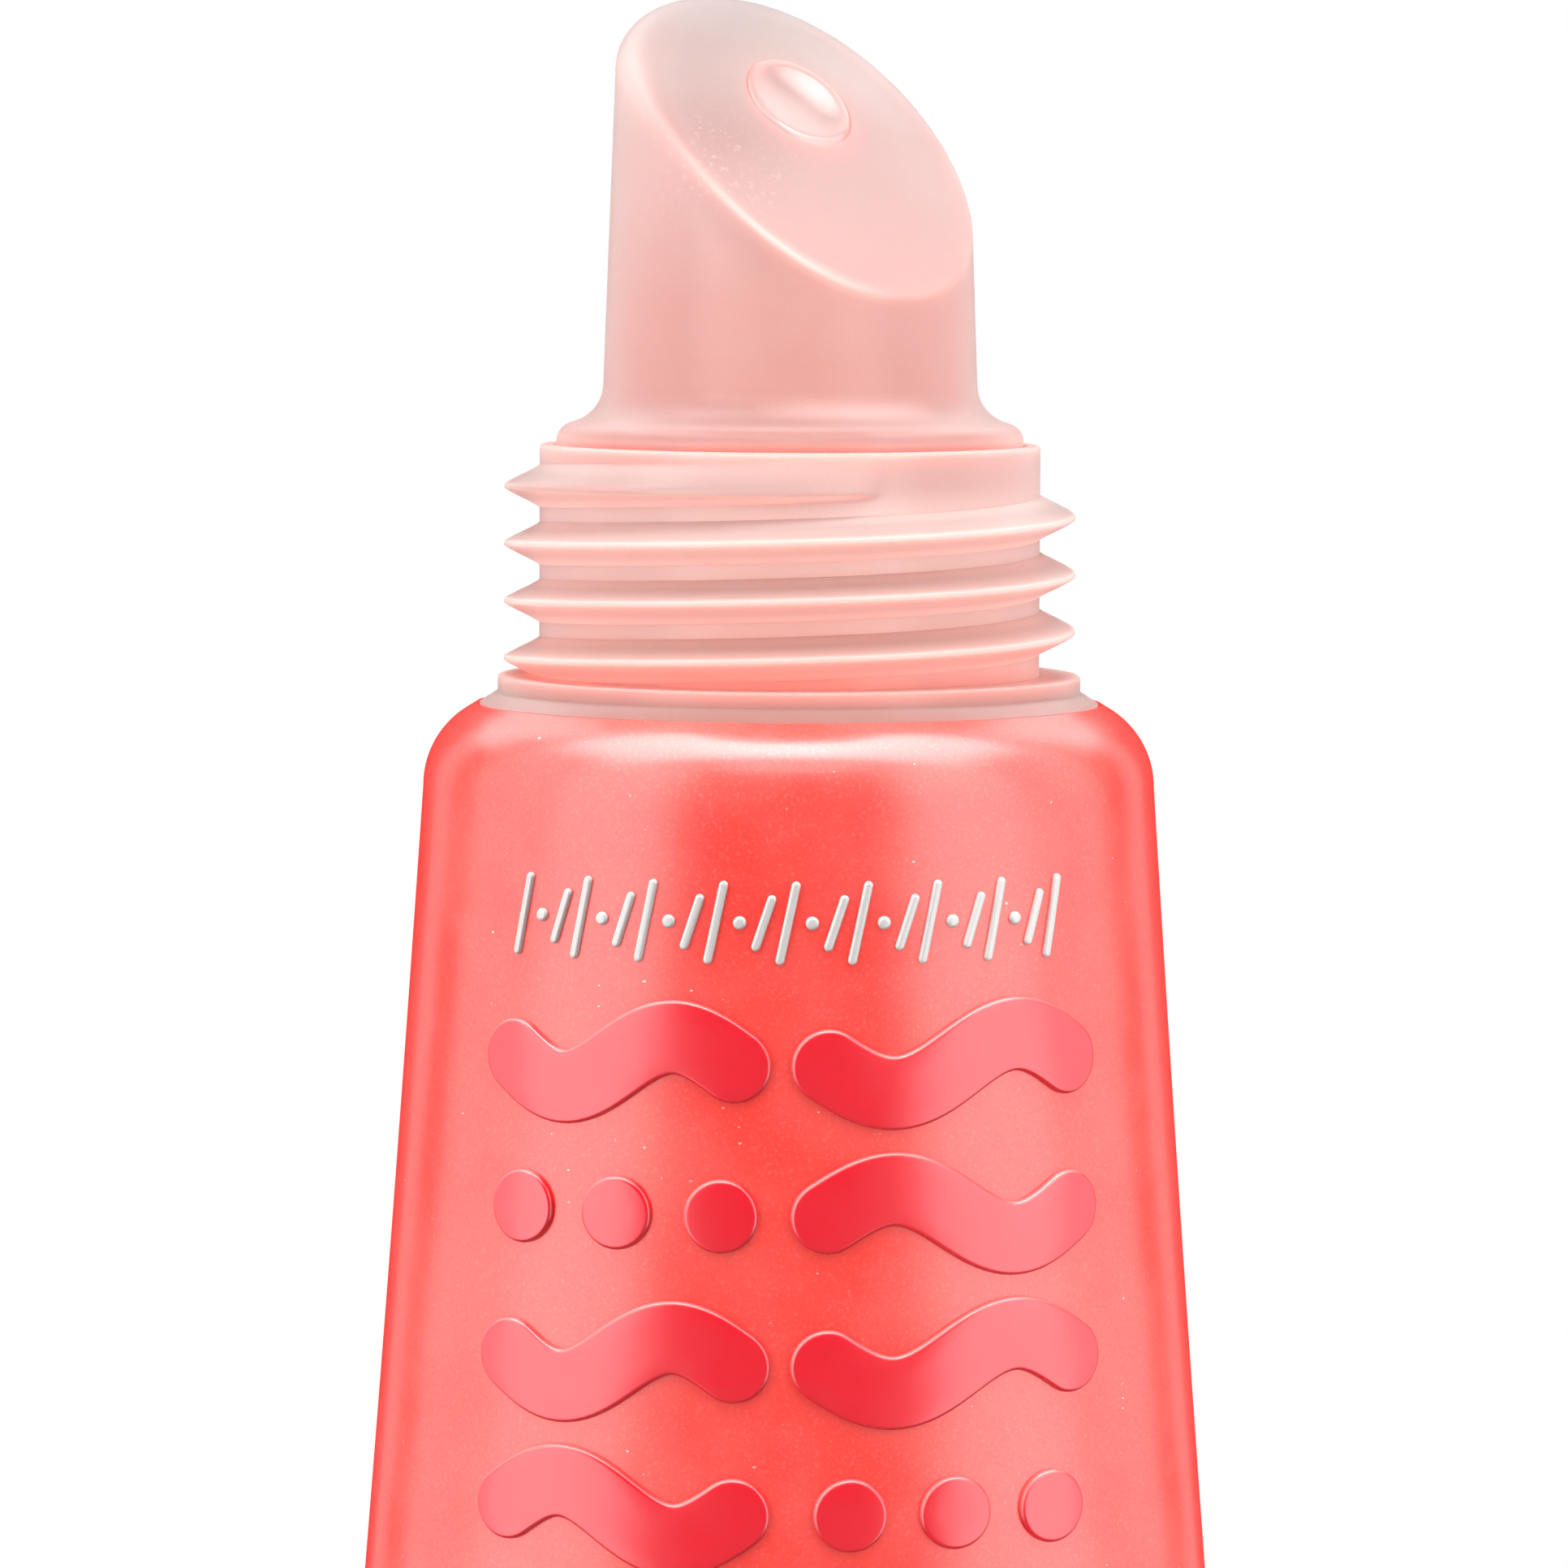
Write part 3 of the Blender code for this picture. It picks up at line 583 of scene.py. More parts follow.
def make_applicator():
    azimuth = turn_angles(TURN_POINTS)
    lean = np.cos(azimuth - FACE_HIGH_SIDE)
    base = [
        (STEM_RADIUS - 0.6, STEM_BOTTOM_Z),
        (STEM_RADIUS, STEM_BOTTOM_Z + STEM_EDGE),
        (STEM_RADIUS, NECK_TOP_Z - HAIRLINE),
        (RIM_RADIUS - 2 * HAIRLINE, NECK_TOP_Z - HAIRLINE),
        (RIM_RADIUS, NECK_TOP_Z + HAIRLINE),
    ]
    base += arc(RIM_RADIUS - RIM_ROUND, NECK_TOP_Z + 0.08, RIM_ROUND, 0.0, RIM_ROUND_END_DEG, 8)
    base += arc(WALL_RADIUS + FILLET_RADIUS, WALL_START_Z, FILLET_RADIUS, 250.0, 182.0, 12)
    rings = profile_rings(base, TURN_POINTS)
    _, top = rim_arc(lean, 0.0)
    for share in np.linspace(0.0, 1.0, 14)[1:]:
        z = WALL_START_Z + (top - WALL_START_Z) * share
        rings.append(round_ring(azimuth, WALL_RADIUS - math.tan(WALL_DRAFT) * (z - WALL_START_Z), z))
    rings += [round_ring(azimuth, *rim_arc(lean, share)) for share in np.linspace(0.0, 1.0, 15)[1:]]
    rings += [face_ring(azimuth, share) for share in np.linspace(0.0, 1.0, 16)[1:]]
    for inset, rise in ((-0.04, -0.005), (-0.01, -0.04), (0.02, -0.2)):
        rings.append(orifice_ring(azimuth, inset, rise))
    rings += profile_rings([
        (ORIFICE_RADIUS, CHANNEL_BOTTOM_Z),
        (HOLLOW_RADIUS - 0.4, WALL_START_Z + 0.7),
        (HOLLOW_RADIUS, WALL_START_Z + 0.2),
        (STEM_BORE_RADIUS, STEM_BOTTOM_Z),
    ], TURN_POINTS)
    return ring_piece("applicator", rings, closed=True, edge=tip_edges(rings, azimuth, lean))


def make_gloss():
    """The gloss, from the crimp up through the neck to the bead that stands in the orifice."""
    inset = SLEEVE_WALL + HAIRLINE + GLOSS_GAP
    heights = np.linspace(float(gloss_low[2]), PLUG_BOTTOM_Z - 0.4, 24)
    rings = [sleeve_ring(z, inset, GLOSS_POINTS) for z in heights]
    plug_bore = SLEEVE_RADIUS - SLEEVE_WALL - PLUG_WALL - 0.15
    neck_bore = NECK_BORE_RADIUS - GLOSS_GAP
    rings += profile_rings([
        (plug_bore, PLUG_BOTTOM_Z),
        (plug_bore, SHOULDER_ARC_Z - 0.6),
        (neck_bore + 0.5, SHOULDER_ARC_Z + 0.45),
        (neck_bore, SHOULDER_ARC_Z + 1.1),
        (neck_bore, STEM_BOTTOM_Z - 0.1),
        (STEM_BORE_RADIUS - GLOSS_GAP, STEM_BOTTOM_Z - 0.05),
        (HOLLOW_RADIUS - GLOSS_GAP, WALL_START_Z + 0.1),
        (ORIFICE_RADIUS - GLOSS_GAP, CHANNEL_BOTTOM_Z + 0.1),
    ], GLOSS_POINTS)
    edge = orifice_ring(turn_angles(GLOSS_POINTS), -0.01, 0.0)
    centre = edge.mean(axis=0)
    meniscus = ((1.0, -0.12), (0.997, -0.02), (0.985, 0.04), (0.96, 0.075), (0.92, 0.09),
                (0.78, 0.07), (0.6, 0.02), (0.44, -0.02), (0.24, -0.05), (0.02, -0.06))
    for share, rise in meniscus:
        rings.append(centre + (edge - centre) * share + np.array([0.0, 0.0, rise]))
    return ring_piece("gloss", rings, sharp_deg=60.0)


# ------------------------ cap

def make_cap_shell():
    inner = CAP_RADIUS - CAP_WALL
    ceiling = CAP_TOP_Z - CAP_TOP_THICKNESS
    corner = CAP_EDGE_ROUND
    profile = [(0.0, CAP_TOP_Z), (2.0, CAP_TOP_Z), (5.0, CAP_TOP_Z)]
    profile += arc(CAP_RADIUS - corner, CAP_TOP_Z - corner, corner, 90.0, 0.0, 12)
    profile += [(CAP_RADIUS, CAP_MOUTH_Z + 12.0), (CAP_RADIUS, CAP_GROOVE_Z + CAP_GROOVE_HALF_HEIGHT)]
    profile += arc(CAP_RADIUS + 0.02, CAP_GROOVE_Z, CAP_GROOVE_RADIUS, 90.0, 270.0, 6)
    profile += [(CAP_RADIUS, CAP_GROOVE_Z - CAP_GROOVE_HALF_HEIGHT)]
    profile += arc(CAP_RADIUS - CAP_LIP, CAP_MOUTH_Z + CAP_LIP, CAP_LIP, 0.0, -90.0, 4)
    profile += arc(inner + CAP_INNER_LIP, CAP_MOUTH_Z + CAP_INNER_LIP, CAP_INNER_LIP, -90.0, -180.0, 3)
    profile += [(inner, ceiling - 0.6), (inner - 0.6, ceiling), (0.0, ceiling)]
    return turned_piece("cap_outside", profile, CAP_POINTS, closed=False)


def make_cap_insert():
    outer = float(insert_high[0])
    mouth, top = float(insert_low[2]), float(insert_high[2])
    bore = NECK_RADIUS + THREAD_HEIGHT + INSERT_CLEARANCE
    collar = FLANGE_RADIUS + 0.35
    inner, sheath = SEAL_INNER_RADIUS, SEAL_INNER_RADIUS + INSERT_SHEATH_WALL
    low, high = mouth + 0.55, SEAL_LOW_Z - 1.0
    shift = CAP_LIFT + PITCH / 2
    wall = thread_wall(bore, -1.0, low, high, shift, INSERT_THREAD_START_DEG, INSERT_THREAD_END_DEG,
                       INSERT_THREAD_FADES_DEG)
    profile = [
        (bore, high),
        (INSERT_LEDGE_RADIUS, SEAL_LOW_Z - 0.7),
        (INSERT_LEDGE_RADIUS, SEAL_LOW_Z - SEAL_GAP),
        (INSERT_GROOVE_RADIUS, SEAL_LOW_Z - SEAL_GAP),
        (INSERT_GROOVE_RADIUS, SEAL_HIGH_Z + SEAL_GAP),
        (inner, SEAL_HIGH_Z + SEAL_GAP),
        (inner, top - INSERT_TOP_THICKNESS),
        (1e-4, top - INSERT_TOP_THICKNESS),
        (1e-4, top),
        (sheath - 0.4, top),
        (sheath, top - 0.4),
        (sheath, SEAL_HIGH_Z + 2.4),
        (outer, SEAL_HIGH_Z + 1.6),
        (outer, mouth + INSERT_EDGE),
        (outer - INSERT_EDGE, mouth),
        (collar + 0.1, mouth),
        (collar, mouth + 0.1),
        (collar, low - 0.2),
        (bore, low),
    ]
    return threaded_piece("cap_inside", wall, profile)


def make_cap_seal():
    low, high = SEAL_LOW_Z, SEAL_HIGH_Z
    inner, outer = SEAL_INNER_RADIUS, float(seal_high[0])
    profile = [
        (inner + SEAL_EDGE, high),
        (outer - SEAL_EDGE, high),
        (outer, high - SEAL_EDGE),
        (outer, low + SEAL_EDGE),
        (outer - SEAL_EDGE, low),
        (inner + SEAL_BEVEL, low),
        (inner, low + SEAL_BEVEL),
        (inner, high - SEAL_EDGE),
    ]
    return turned_piece("seal_washer", profile, SEAL_POINTS)


# ------------------------ raised print

def make_wrap_table():
    """Section angles from the front's centre line for distances round the sleeve, row by row."""
    heights = np.arange(6.0, SHOULDER_ARC_Z + WRAP_STEP_Z, WRAP_STEP_Z)
    reach = np.arange(0.0, WRAP_REACH_MAX, WRAP_STEP_ACROSS)
    angles = np.linspace(0.0, math.pi / 2, 1200)
    rows = []
    for z in heights:
        width, depth, power = sleeve_section(z)
        run = np.hypot(np.diff(width * np.sin(angles)), np.diff(depth * np.cos(angles) ** power))
        rows.append(np.interp(reach, np.concatenate([[0.0], run.cumsum()]), angles))
    return heights, reach, np.array(rows)


WRAP_HEIGHTS, WRAP_REACH, WRAP_ANGLES = make_wrap_table()


def wrap_angle(across, z):
    """Section angle, from the front's centre line, at a distance round the sleeve."""
    row = np.clip((z - WRAP_HEIGHTS[0]) / WRAP_STEP_Z, 0.0, len(WRAP_HEIGHTS) - 1.001)
    column = np.clip(np.abs(across) / WRAP_STEP_ACROSS, 0.0, len(WRAP_REACH) - 1.001)
    i, j = row.astype(int), column.astype(int)
    u, v = row - i, column - j
    low = WRAP_ANGLES[i, j] * (1 - v) + WRAP_ANGLES[i, j + 1] * v
    high = WRAP_ANGLES[i + 1, j] * (1 - v) + WRAP_ANGLES[i + 1, j + 1] * v
    return (low * (1 - u) + high * u) * np.sign(across)


def sleeve_point(angle, z):
    width, depth, power = sleeve_section(z)
    return np.stack([width * np.sin(angle), -depth * np.abs(np.cos(angle)) ** power, z], 1)


def on_sleeve(across, z, lift):
    """Points lifted off the sleeve's front: across is the distance round it from the centre line."""
    angle = wrap_angle(across, z)
    step = 0.002
    right = sleeve_point(angle + step, z) - sleeve_point(angle - step, z)
    up = sleeve_point(angle, z + step) - sleeve_point(angle, z - step)
    normal = np.cross(right, up)
    normal /= np.linalg.norm(normal, axis=1, keepdims=True)
    return sleeve_point(angle, z) + normal * lift


def stroke_outline(path, radius, spacing):
    """Outline of a round-ended stroke along a path: (spine points, outward normals)."""
    path = np.array(path, float)
    steps = max(8, round(math.pi * radius / spacing))
    if len(path) == 1:
        turn = np.arange(2 * steps) * math.pi / steps
        return np.repeat(path, len(turn), axis=0), np.stack([np.cos(turn), np.sin(turn)], 1)
    along = np.gradient(path, axis=0)
    heading = np.unwrap(np.arctan2(along[:, 1], along[:, 0]))
    quarter = math.pi / 2
    spine, angles = [], []
    for line, turned, side in ((path, heading, -quarter), (path[::-1], heading[::-1], quarter)):
        spine += list(line)
        angles += list(turned + side)
        for i in range(1, steps):
            spine.append(line[-1])
            angles.append(turned[-1] + side + math.pi * i / steps)
    angles = np.array(angles)
    return np.array(spine), np.stack([np.cos(angles), np.sin(angles)], 1)


def raised_strokes(name, strokes, height, edge, spacing):
    """Raised varnish strokes with rounded edges that follow the sleeve, joined as one piece, each edge
    point carrying its painted highlight or shade.

    edge is the width of the rounding, which runs inwards as shares of (width, height).
    """
    profile = [(0.0, PRINT_ROOT), (0.0, 0.3), (0.05, 0.5), (0.16, 0.7), (0.36, 0.87), (0.66, 0.97),
               (1.0, 1.0)]
    points, faces, edges = [], [], []
    for path, radius in strokes:
        spine, normals = stroke_outline(path, radius, spacing)
        edge_here = min(edge, 0.75 * radius)
        inner = np.linspace(0.0, 1.0, max(2, math.ceil((radius - edge_here) / (4 * spacing))) + 1)
        rows = [(radius * share, PRINT_ROOT) for share in inner]
        rows += [(radius - inset * edge_here, rise) for inset, rise in profile]
        rows += [((radius - edge_here) * (1 - share), 1.0) for share in inner[1:]]
        faces += grid_faces(len(rows), len(spine), len(points))
        # painted highlight and shade: edge points get up to +1 on the lit side and down to -1 on the far
        # side, fading towards the flat top
        lit = normals @ np.array(PRINT_PAINTED_LIGHT_SIDE)
        for reach, rise in rows:
            flat = spine + normals * reach
            points += list(on_sleeve(flat[:, 0], flat[:, 1], rise * height))
            edges += list(lit * max(0.0, 1.0 - (radius - reach) / edge_here))
    return make_object(name, points, faces, 60.0, merge=2e-3, edge=edges)


def wave_path(left, right, z, swing):
    """One whole wave between two distances round the sleeve."""
    share = np.linspace(0.0, 1.0, round((right - left) / WAVE_STEP))
    return np.stack([left + (right - left) * share, z + swing * np.sin(math.tau * share)], 1)


def wave_pattern():
    """Broad glossy waves in two columns down the front, with bubbles in place of every fourth wave."""
    strokes = []
    for row in range(WAVE_ROWS):
        z = WAVE_TOP_Z - WAVE_SPACING * row
        swing = WAVE_SWING if row % 2 else -WAVE_SWING
        for left, right, phase in WAVE_COLUMNS:
            if (row + phase) % 4 == 1:
                middle = (left + right) / 2
                strokes += [([(middle + BUBBLE_SPACING * i, z)], WAVE_RADIUS) for i in (-1, 0, 1)]
            else:
                strokes.append((wave_path(left, right, z, swing), WAVE_RADIUS))
    return strokes


def dash_pattern():
    """A row of small slanted dashes and dots across the front, below the shoulder."""
    strokes = []
    share = np.linspace(-1.0, 1.0, 16)
    for i in range(-DASHES_A_SIDE, DASHES_A_SIDE + 1):
        x = i * DASH_STEP
        if i % 3 == 1:
            strokes.append(([(x, DASH_Z)], DOT_RADIUS))
        else:
            rise = DASH_RISE if i % 3 else LONG_DASH_RISE
            strokes.append((np.stack([x + DASH_LEAN * share, DASH_Z + rise * share], 1), DASH_RADIUS))
    return strokes


def make_waves():
    return raised_strokes("print_waves", wave_pattern(), height=0.17, edge=0.12, spacing=0.14)


def make_dashes():
    return raised_strokes("print_dashes", dash_pattern(), height=0.11, edge=0.1, spacing=0.04)


# ------------------------ materials

class Shader:
    """A short way to write node trees: sockets and numbers go in, a socket comes out."""

    def __init__(self, tree):
        self.tree = tree

    def add(self, kind, **settings):
        node = self.tree.nodes.new("ShaderNode" + kind)
        for key, value in settings.items():
            setattr(node, key, value)
        return node

    def feed(self, node, key, value):
        socket = node.inputs[key]
        if isinstance(value, bpy.types.NodeSocket):
            self.tree.links.new(value, socket)
        else:
            socket.default_value = value

    def math(self, operation, first, second=0.0, clamp=False):
        node = self.add("Math", operation=operation, use_clamp=clamp)
        self.feed(node, 0, first)
        self.feed(node, 1, second)
        return node.outputs[0]

    def times(self, first, second):
        return self.math("MULTIPLY", first, second)

    def plus(self, first, second):
        return self.math("ADD", first, second)

    def span(self, value, low, high, out_low=0.0, out_high=1.0):
        """A smooth step from out_low at low to out_high at high."""
        node = self.add("MapRange", interpolation_type="SMOOTHSTEP")
        for key, item in zip(range(5), (value, low, high, out_low, out_high)):
            self.feed(node, key, item)
        return node.outputs[0]

    def mix(self, share, first, second, blend="MIX"):
        node = self.add("Mix", data_type="RGBA", blend_type=blend)
        self.feed(node, 0, share)
        self.feed(node, 6, first)
        self.feed(node, 7, second)
        return node.outputs[2]

    def noise(self, place, scale, detail=2.0, roughness=0.5):
        node = self.add("TexNoise")
        self.feed(node, "Vector", place)
        self.feed(node, "Scale", scale)
        self.feed(node, "Detail", detail)
        self.feed(node, "Roughness", roughness)
        return node.outputs[0]

    def bump(self, height, strength, distance):
        node = self.add("Bump")
        self.feed(node, "Height", height)
        self.feed(node, "Strength", strength)
        self.feed(node, "Distance", distance)
        return node.outputs[0]

    def edge(self):
        """The number that make_object keeps on each point, which says where to paint highlight, shade or
        glint.
        """
        return self.add("Attribute", attribute_name="edge").outputs["Fac"]

    def object_place(self):
        return self.add("TexCoord").outputs["Object"]

    def facing(self):
        """0 where the surface faces the viewer, 1 where it is seen edge on."""
        node = self.add("LayerWeight")
        self.feed(node, "Blend", 0.5)
        return node.outputs["Facing"]


def colour(red, green, blue):
    """A linear colour from 0-255 display values."""
    def line(v):
        v /= 255.0
        return v / 12.92 if v <= 0.04045 else ((v + 0.055) / 1.055) ** 2.4
    return line(red), line(green), line(blue), 1.0


def dimmed(rgba, share):
    return tuple(v * share for v in rgba[:3]) + (1.0,)


SCATTER_COLOUR = (1.0, 0.7, 0.65)       # how far red, green and blue spread inside the milky plastics
PRINT_SHINE_FADE = (0.78, 0.95)         # facing over which the sleeve's and the print's shine fades

# Heights in mm and the colour there, where the neck or the tip is seen face on
NECK_TINTS = (
    (69.9, colour(158, 102, 92)),
    (70.8, colour(200, 146, 137)),
    (71.4, colour(200, 168, 160)),
    (75.0, colour(200, 180, 174)),
    (76.0, colour(186, 153, 147)),
)
# Painted highlight on the thread's crests
NECK_CREST_HIGHLIGHT = (NECK_RADIUS + 0.86 * THREAD_HEIGHT, NECK_RADIUS + THREAD_HEIGHT, FLANGE_HIGH_Z)
# Painted light that brightens the thread's valleys
NECK_VALLEY_PAINTED_LIGHT = (NECK_RADIUS + 0.02, NECK_RADIUS + 0.5 * THREAD_HEIGHT, 1.3)
# Painted light and shade on faces that look down, out and up
NECK_SLOPE_SHADE = (1.3, 0.98, 0.82)
TIP_TINTS = (
    (76.8, colour(184, 132, 124)),
    (78.6, colour(219, 164, 156)),
    (80.0, colour(223, 168, 160)),
    (84.5, colour(231, 193, 188)),
    (87.0, colour(252, 234, 230)),
    (88.6, colour(255, 255, 255)),
)
# Painted highlight on the tip's rim
TIP_CREST_HIGHLIGHT = (RIM_RADIUS - 0.1, RIM_RADIUS + 0.1, NECK_TOP_Z)
# Painted valley light, left at no change for the tip
TIP_VALLEY_PAINTED_LIGHT = (0.0, 1.0, 1.0)
# Painted light and shade on faces that look down, out and up
TIP_SLOPE_SHADE = (1.02, 0.9, 0.775)
SIDE_PAINTED_SHADE = (0.85, 0.765, 0.76, 1.0)    # painted shade where the wall turns away, and over all of the face
SIDE_PAINTED_SHADE_HEIGHTS = (80.5, 83.5)        # heights over which it takes over


def new_material(name, **settings):
    """A Principled material: (material, shader helper, principled node)."""
    material = bpy.data.materials.new(name)
    material.use_nodes = True
    shader = Shader(material.node_tree)
    principled = material.node_tree.nodes["Principled BSDF"]
    for key, value in settings.items():
        shader.feed(principled, key.replace("_", " "), value)
    return material, shader, principled


def fading_shine(s, out, specular, coat, coat_roughness):
    """Highlights that fade where the surface turns away, so that its outline keeps its colour.

    specular and coat are each (facing where the fade starts, where it ends, level, faded level).
    """
    s.feed(out, "Specular IOR Level", s.span(s.facing(), *specular))
    s.feed(out, "Coat Weight", s.span(s.facing(), *coat))
    s.feed(out, "Coat Roughness", coat_roughness)


def scatter(s, out, weight, distance):
    s.feed(out, "Subsurface Weight", weight)
    s.feed(out, "Subsurface Radius", SCATTER_COLOUR)
    s.feed(out, "Subsurface Scale", distance)


def bright_flakes(s, place):
    """How much of a bright mica flake is at each place: few cells hold one, and most are small."""
    stretched = s.add("VectorMath", operation="MULTIPLY")
    s.feed(stretched, 0, place)
    s.feed(stretched, 1, (0.6, 0.8, 1.0))
    cells = s.add("TexVoronoi", feature="F1")
    s.feed(cells, "Vector", stretched.outputs[0])
    s.feed(cells, "Scale", 4200.0)
    picked = s.add("SeparateColor")
    s.feed(picked, 0, cells.outputs["Color"])
    chosen = s.math("GREATER_THAN", picked.outputs[0], 0.82)
    size = s.times(s.times(picked.outputs[1], picked.outputs[1]), 0.1)
    near = s.span(cells.outputs["Distance"], size, s.plus(size, 0.06), 1.0, 0.0)
    return s.times(s.times(chosen, near), picked.outputs[2])


def pearl_material():
    """Pearly coral sleeve: saturated body with painted shade along its outline, soft sheen, fine sandy
    mica and a few bright flakes.
    """
    material, s, out = new_material("pearl_sleeve")
    place = s.object_place()
    body = (0.95, 0.046, 0.034, 1.0)
    painted_outline_shade = (0.86, 0.034, 0.024, 1.0)
    mottle = s.noise(place, 350.0, 3.0)
    base = s.mix(s.span(mottle, 0.35, 0.65, 0.0, 0.12), body, dimmed(colour(255, 140, 128), 0.8))
    # painted shade: the body turns a darker red where the sleeve is seen edge on
    base = s.mix(s.span(s.facing(), 0.60, 0.80), base, painted_outline_shade)
    sand = s.noise(place, 12000.0, 2.0, 0.6)
    base = s.mix(s.span(sand, 0.5, 0.75, 0.0, 0.16), base, dimmed(colour(255, 176, 165), 0.9))
    base = s.mix(s.times(bright_flakes(s, place), 0.9), base, (1.0, 0.80, 0.74, 1.0))
    s.feed(out, "Base Color", base)
    s.feed(out, "Roughness", s.span(mottle, 0.3, 0.7, 0.28, 0.34))
    fading_shine(s, out, (*PRINT_SHINE_FADE, 0.95, 0.1), (*PRINT_SHINE_FADE, 0.3, 0.0), 0.12)
    s.feed(out, "Normal", s.bump(s.noise(place, 2200.0, 1.0), 0.08, 0.00002))
    return material


def varnish_material(name, base, rough, bright, painted_shade_colour):
    """Thick glossy varnish print, wet and faintly uneven, with a painted highlight along one side of its
    rounded edge and painted shade along the other.
    """
    material, s, out = new_material(name)
    place = s.object_place()
    wave = s.noise(place, 700.0, 2.0)
    tint = s.mix(s.span(wave, 0.3, 0.7, 0.0, 0.1), base, dimmed(base, 0.85))
    edge = s.edge()
    # painted highlight on one side of the rounded edge, painted shade on the other
    tint = s.mix(s.span(edge, 0.1, 0.7, 0.0, 0.85), tint, bright)
    tint = s.mix(s.span(s.times(edge, -1.0), 0.1, 0.7, 0.0, 0.7), tint, painted_shade_colour)
    s.feed(out, "Base Color", tint)
    s.feed(out, "Roughness", s.span(wave, 0.3, 0.7, rough, rough + 0.05))
    fading_shine(s, out, (*PRINT_SHINE_FADE, 0.95, 0.1), (*PRINT_SHINE_FADE, 0.5, 0.0), 0.12)
    s.feed(out, "Normal", s.bump(s.noise(place, 2500.0), 0.15, 0.00002))
    return material


def red_varnish_material():
    # the last two colours are the painted highlight and the painted shade on the edges
    return varnish_material("red_varnish", (0.76, 0.003, 0.017, 1.0), 0.28,
                            colour(235, 118, 115), colour(150, 18, 25))


def white_varnish_material():
    # the last two colours are the painted highlight and the painted shade on the edges
    return varnish_material("white_varnish", colour(192, 190, 187), 0.3,
                            colour(224, 220, 216), colour(138, 112, 108))


def inner_glow(s, out, rgba, strength):
    """A painted glow, emitted for diffuse rays only, that stands in for light a translucent body passes
    on inside: felt by its neighbours and not seen directly.
    """
    bounced = s.add("LightPath").outputs["Is Diffuse Ray"]
    s.feed(out, "Emission Color", rgba)
    s.feed(out, "Emission Strength", s.times(bounced, strength))


def tint_by_height(s, height, stops):
    tint = stops[0][1]
    for (low, _), (high, rgba) in zip(stops, stops[1:]):
        tint = s.mix(s.span(height, low * MM, high * MM), tint, rgba)
    return tint


def painted_shade_by_slope(s, slopes):
    """Painted light and shade: a level that differs between faces that look down, out and up."""
    under, level, over = slopes
    normal = s.add("SeparateXYZ")
    s.feed(normal, 0, s.add("NewGeometry").outputs["Normal"])
    up = normal.outputs[2]
    return s.times(s.span(up, -0.9, -0.1, under / level, 1.0), s.span(up, 0.1, 0.9, level, over))


def fine_wrinkles(s, place):
    """How much of a pale wrinkle is at each place, in a patch of the slanted face below the orifice."""
    patch = s.add("VectorMath", operation="DISTANCE")
    s.feed(patch, 0, place)
    s.feed(patch, 1, tuple(v * MM for v in GRAIN_CENTRE))
    near, far = GRAIN_REACH
    wrinkle = s.span(s.noise(place, 5200.0, 3.0, 0.7), 0.55, 0.72, 0.0, 0.26)
    return s.times(wrinkle, s.span(patch.outputs["Value"], near * MM, far * MM, 1.0, 0.0))


def translucent_material(name, stops, pale, crest, valley, slopes, rough, glow):
    """Milky natural plastic, tinted by the gloss behind it, with painted light, shade and glints.

    stops are (height, colour at the middle of the piece); pale is the colour of its thin sides.
    crest names the pale edges that get a painted highlight, by their two radii and lowest height. valley
    is two radii and how much brighter the inner one is painted, as painted light in the valleys; slopes
    are the painted levels of light and shade on faces that look down, out and up.
    """
    material, s, out = new_material(name)
    place = s.object_place()
    split = s.add("SeparateXYZ")
    s.feed(split, 0, place)
    x, y, height = split.outputs
    radius = s.math("SQRT", s.plus(s.times(x, x), s.times(y, y)))

    tint = tint_by_height(s, height, stops)
    cloud = s.span(s.noise(place, 420.0, 2.0), 0.3, 0.7, -0.05, 0.05)
    rim = s.math("ADD", s.span(s.facing(), 0.15, 0.95, 0.0, 0.7), cloud, clamp=True)
    tint = s.mix(rim, tint, pale)

    # painted light and shade: each face's colour is scaled by which way it looks, faces that look up
    # darkest, and the thread's valleys are brightened
    inner, outer, brighter = valley
    shade = s.times(painted_shade_by_slope(s, slopes), s.span(radius, inner * MM, outer * MM, brighter, 1.0))
    tint = s.mix(1.0, tint, shade, "MULTIPLY")
    # painted shade: the tint darkens where the wall turns away and over the slanted face
    low, high = SIDE_PAINTED_SHADE_HEIGHTS
    painted_shade_share = s.math("MAXIMUM", s.span(s.facing(), 0.0, 0.2), s.span(height, low * MM, high * MM))
    tint = s.mix(1.0, tint, s.mix(painted_shade_share, (1.0, 1.0, 1.0, 1.0), SIDE_PAINTED_SHADE), "MULTIPLY")

    # painted highlight: the thread's crests and the tip's rim turn pale
    inner, outer, lowest = crest
    crest_highlight = s.times(s.span(radius, inner * MM, outer * MM, 0.0, 0.5),
                      s.span(height, lowest * MM, (lowest + 0.2) * MM))
    tint = s.mix(crest_highlight, tint, colour(212, 186, 179))
    # painted glint on the tip's rounded face edge and on its flare, from the edge attribute
    tint = s.mix(s.edge(), tint, colour(255, 222, 214))
    tint = s.mix(fine_wrinkles(s, place), tint, colour(255, 226, 220))

    s.feed(out, "Base Color", tint)
    s.feed(out, "Roughness", rough)
    s.feed(out, "Specular IOR Level", 0.5)
    scatter(s, out, 0.8, 0.0012)
    # painted glow, seen only by diffuse rays
    inner_glow(s, out, colour(236, 176, 168), glow)
    s.feed(out, "Normal", s.bump(s.noise(place, 9000.0, 2.0, 0.6), 0.2, 0.00003))
    return material


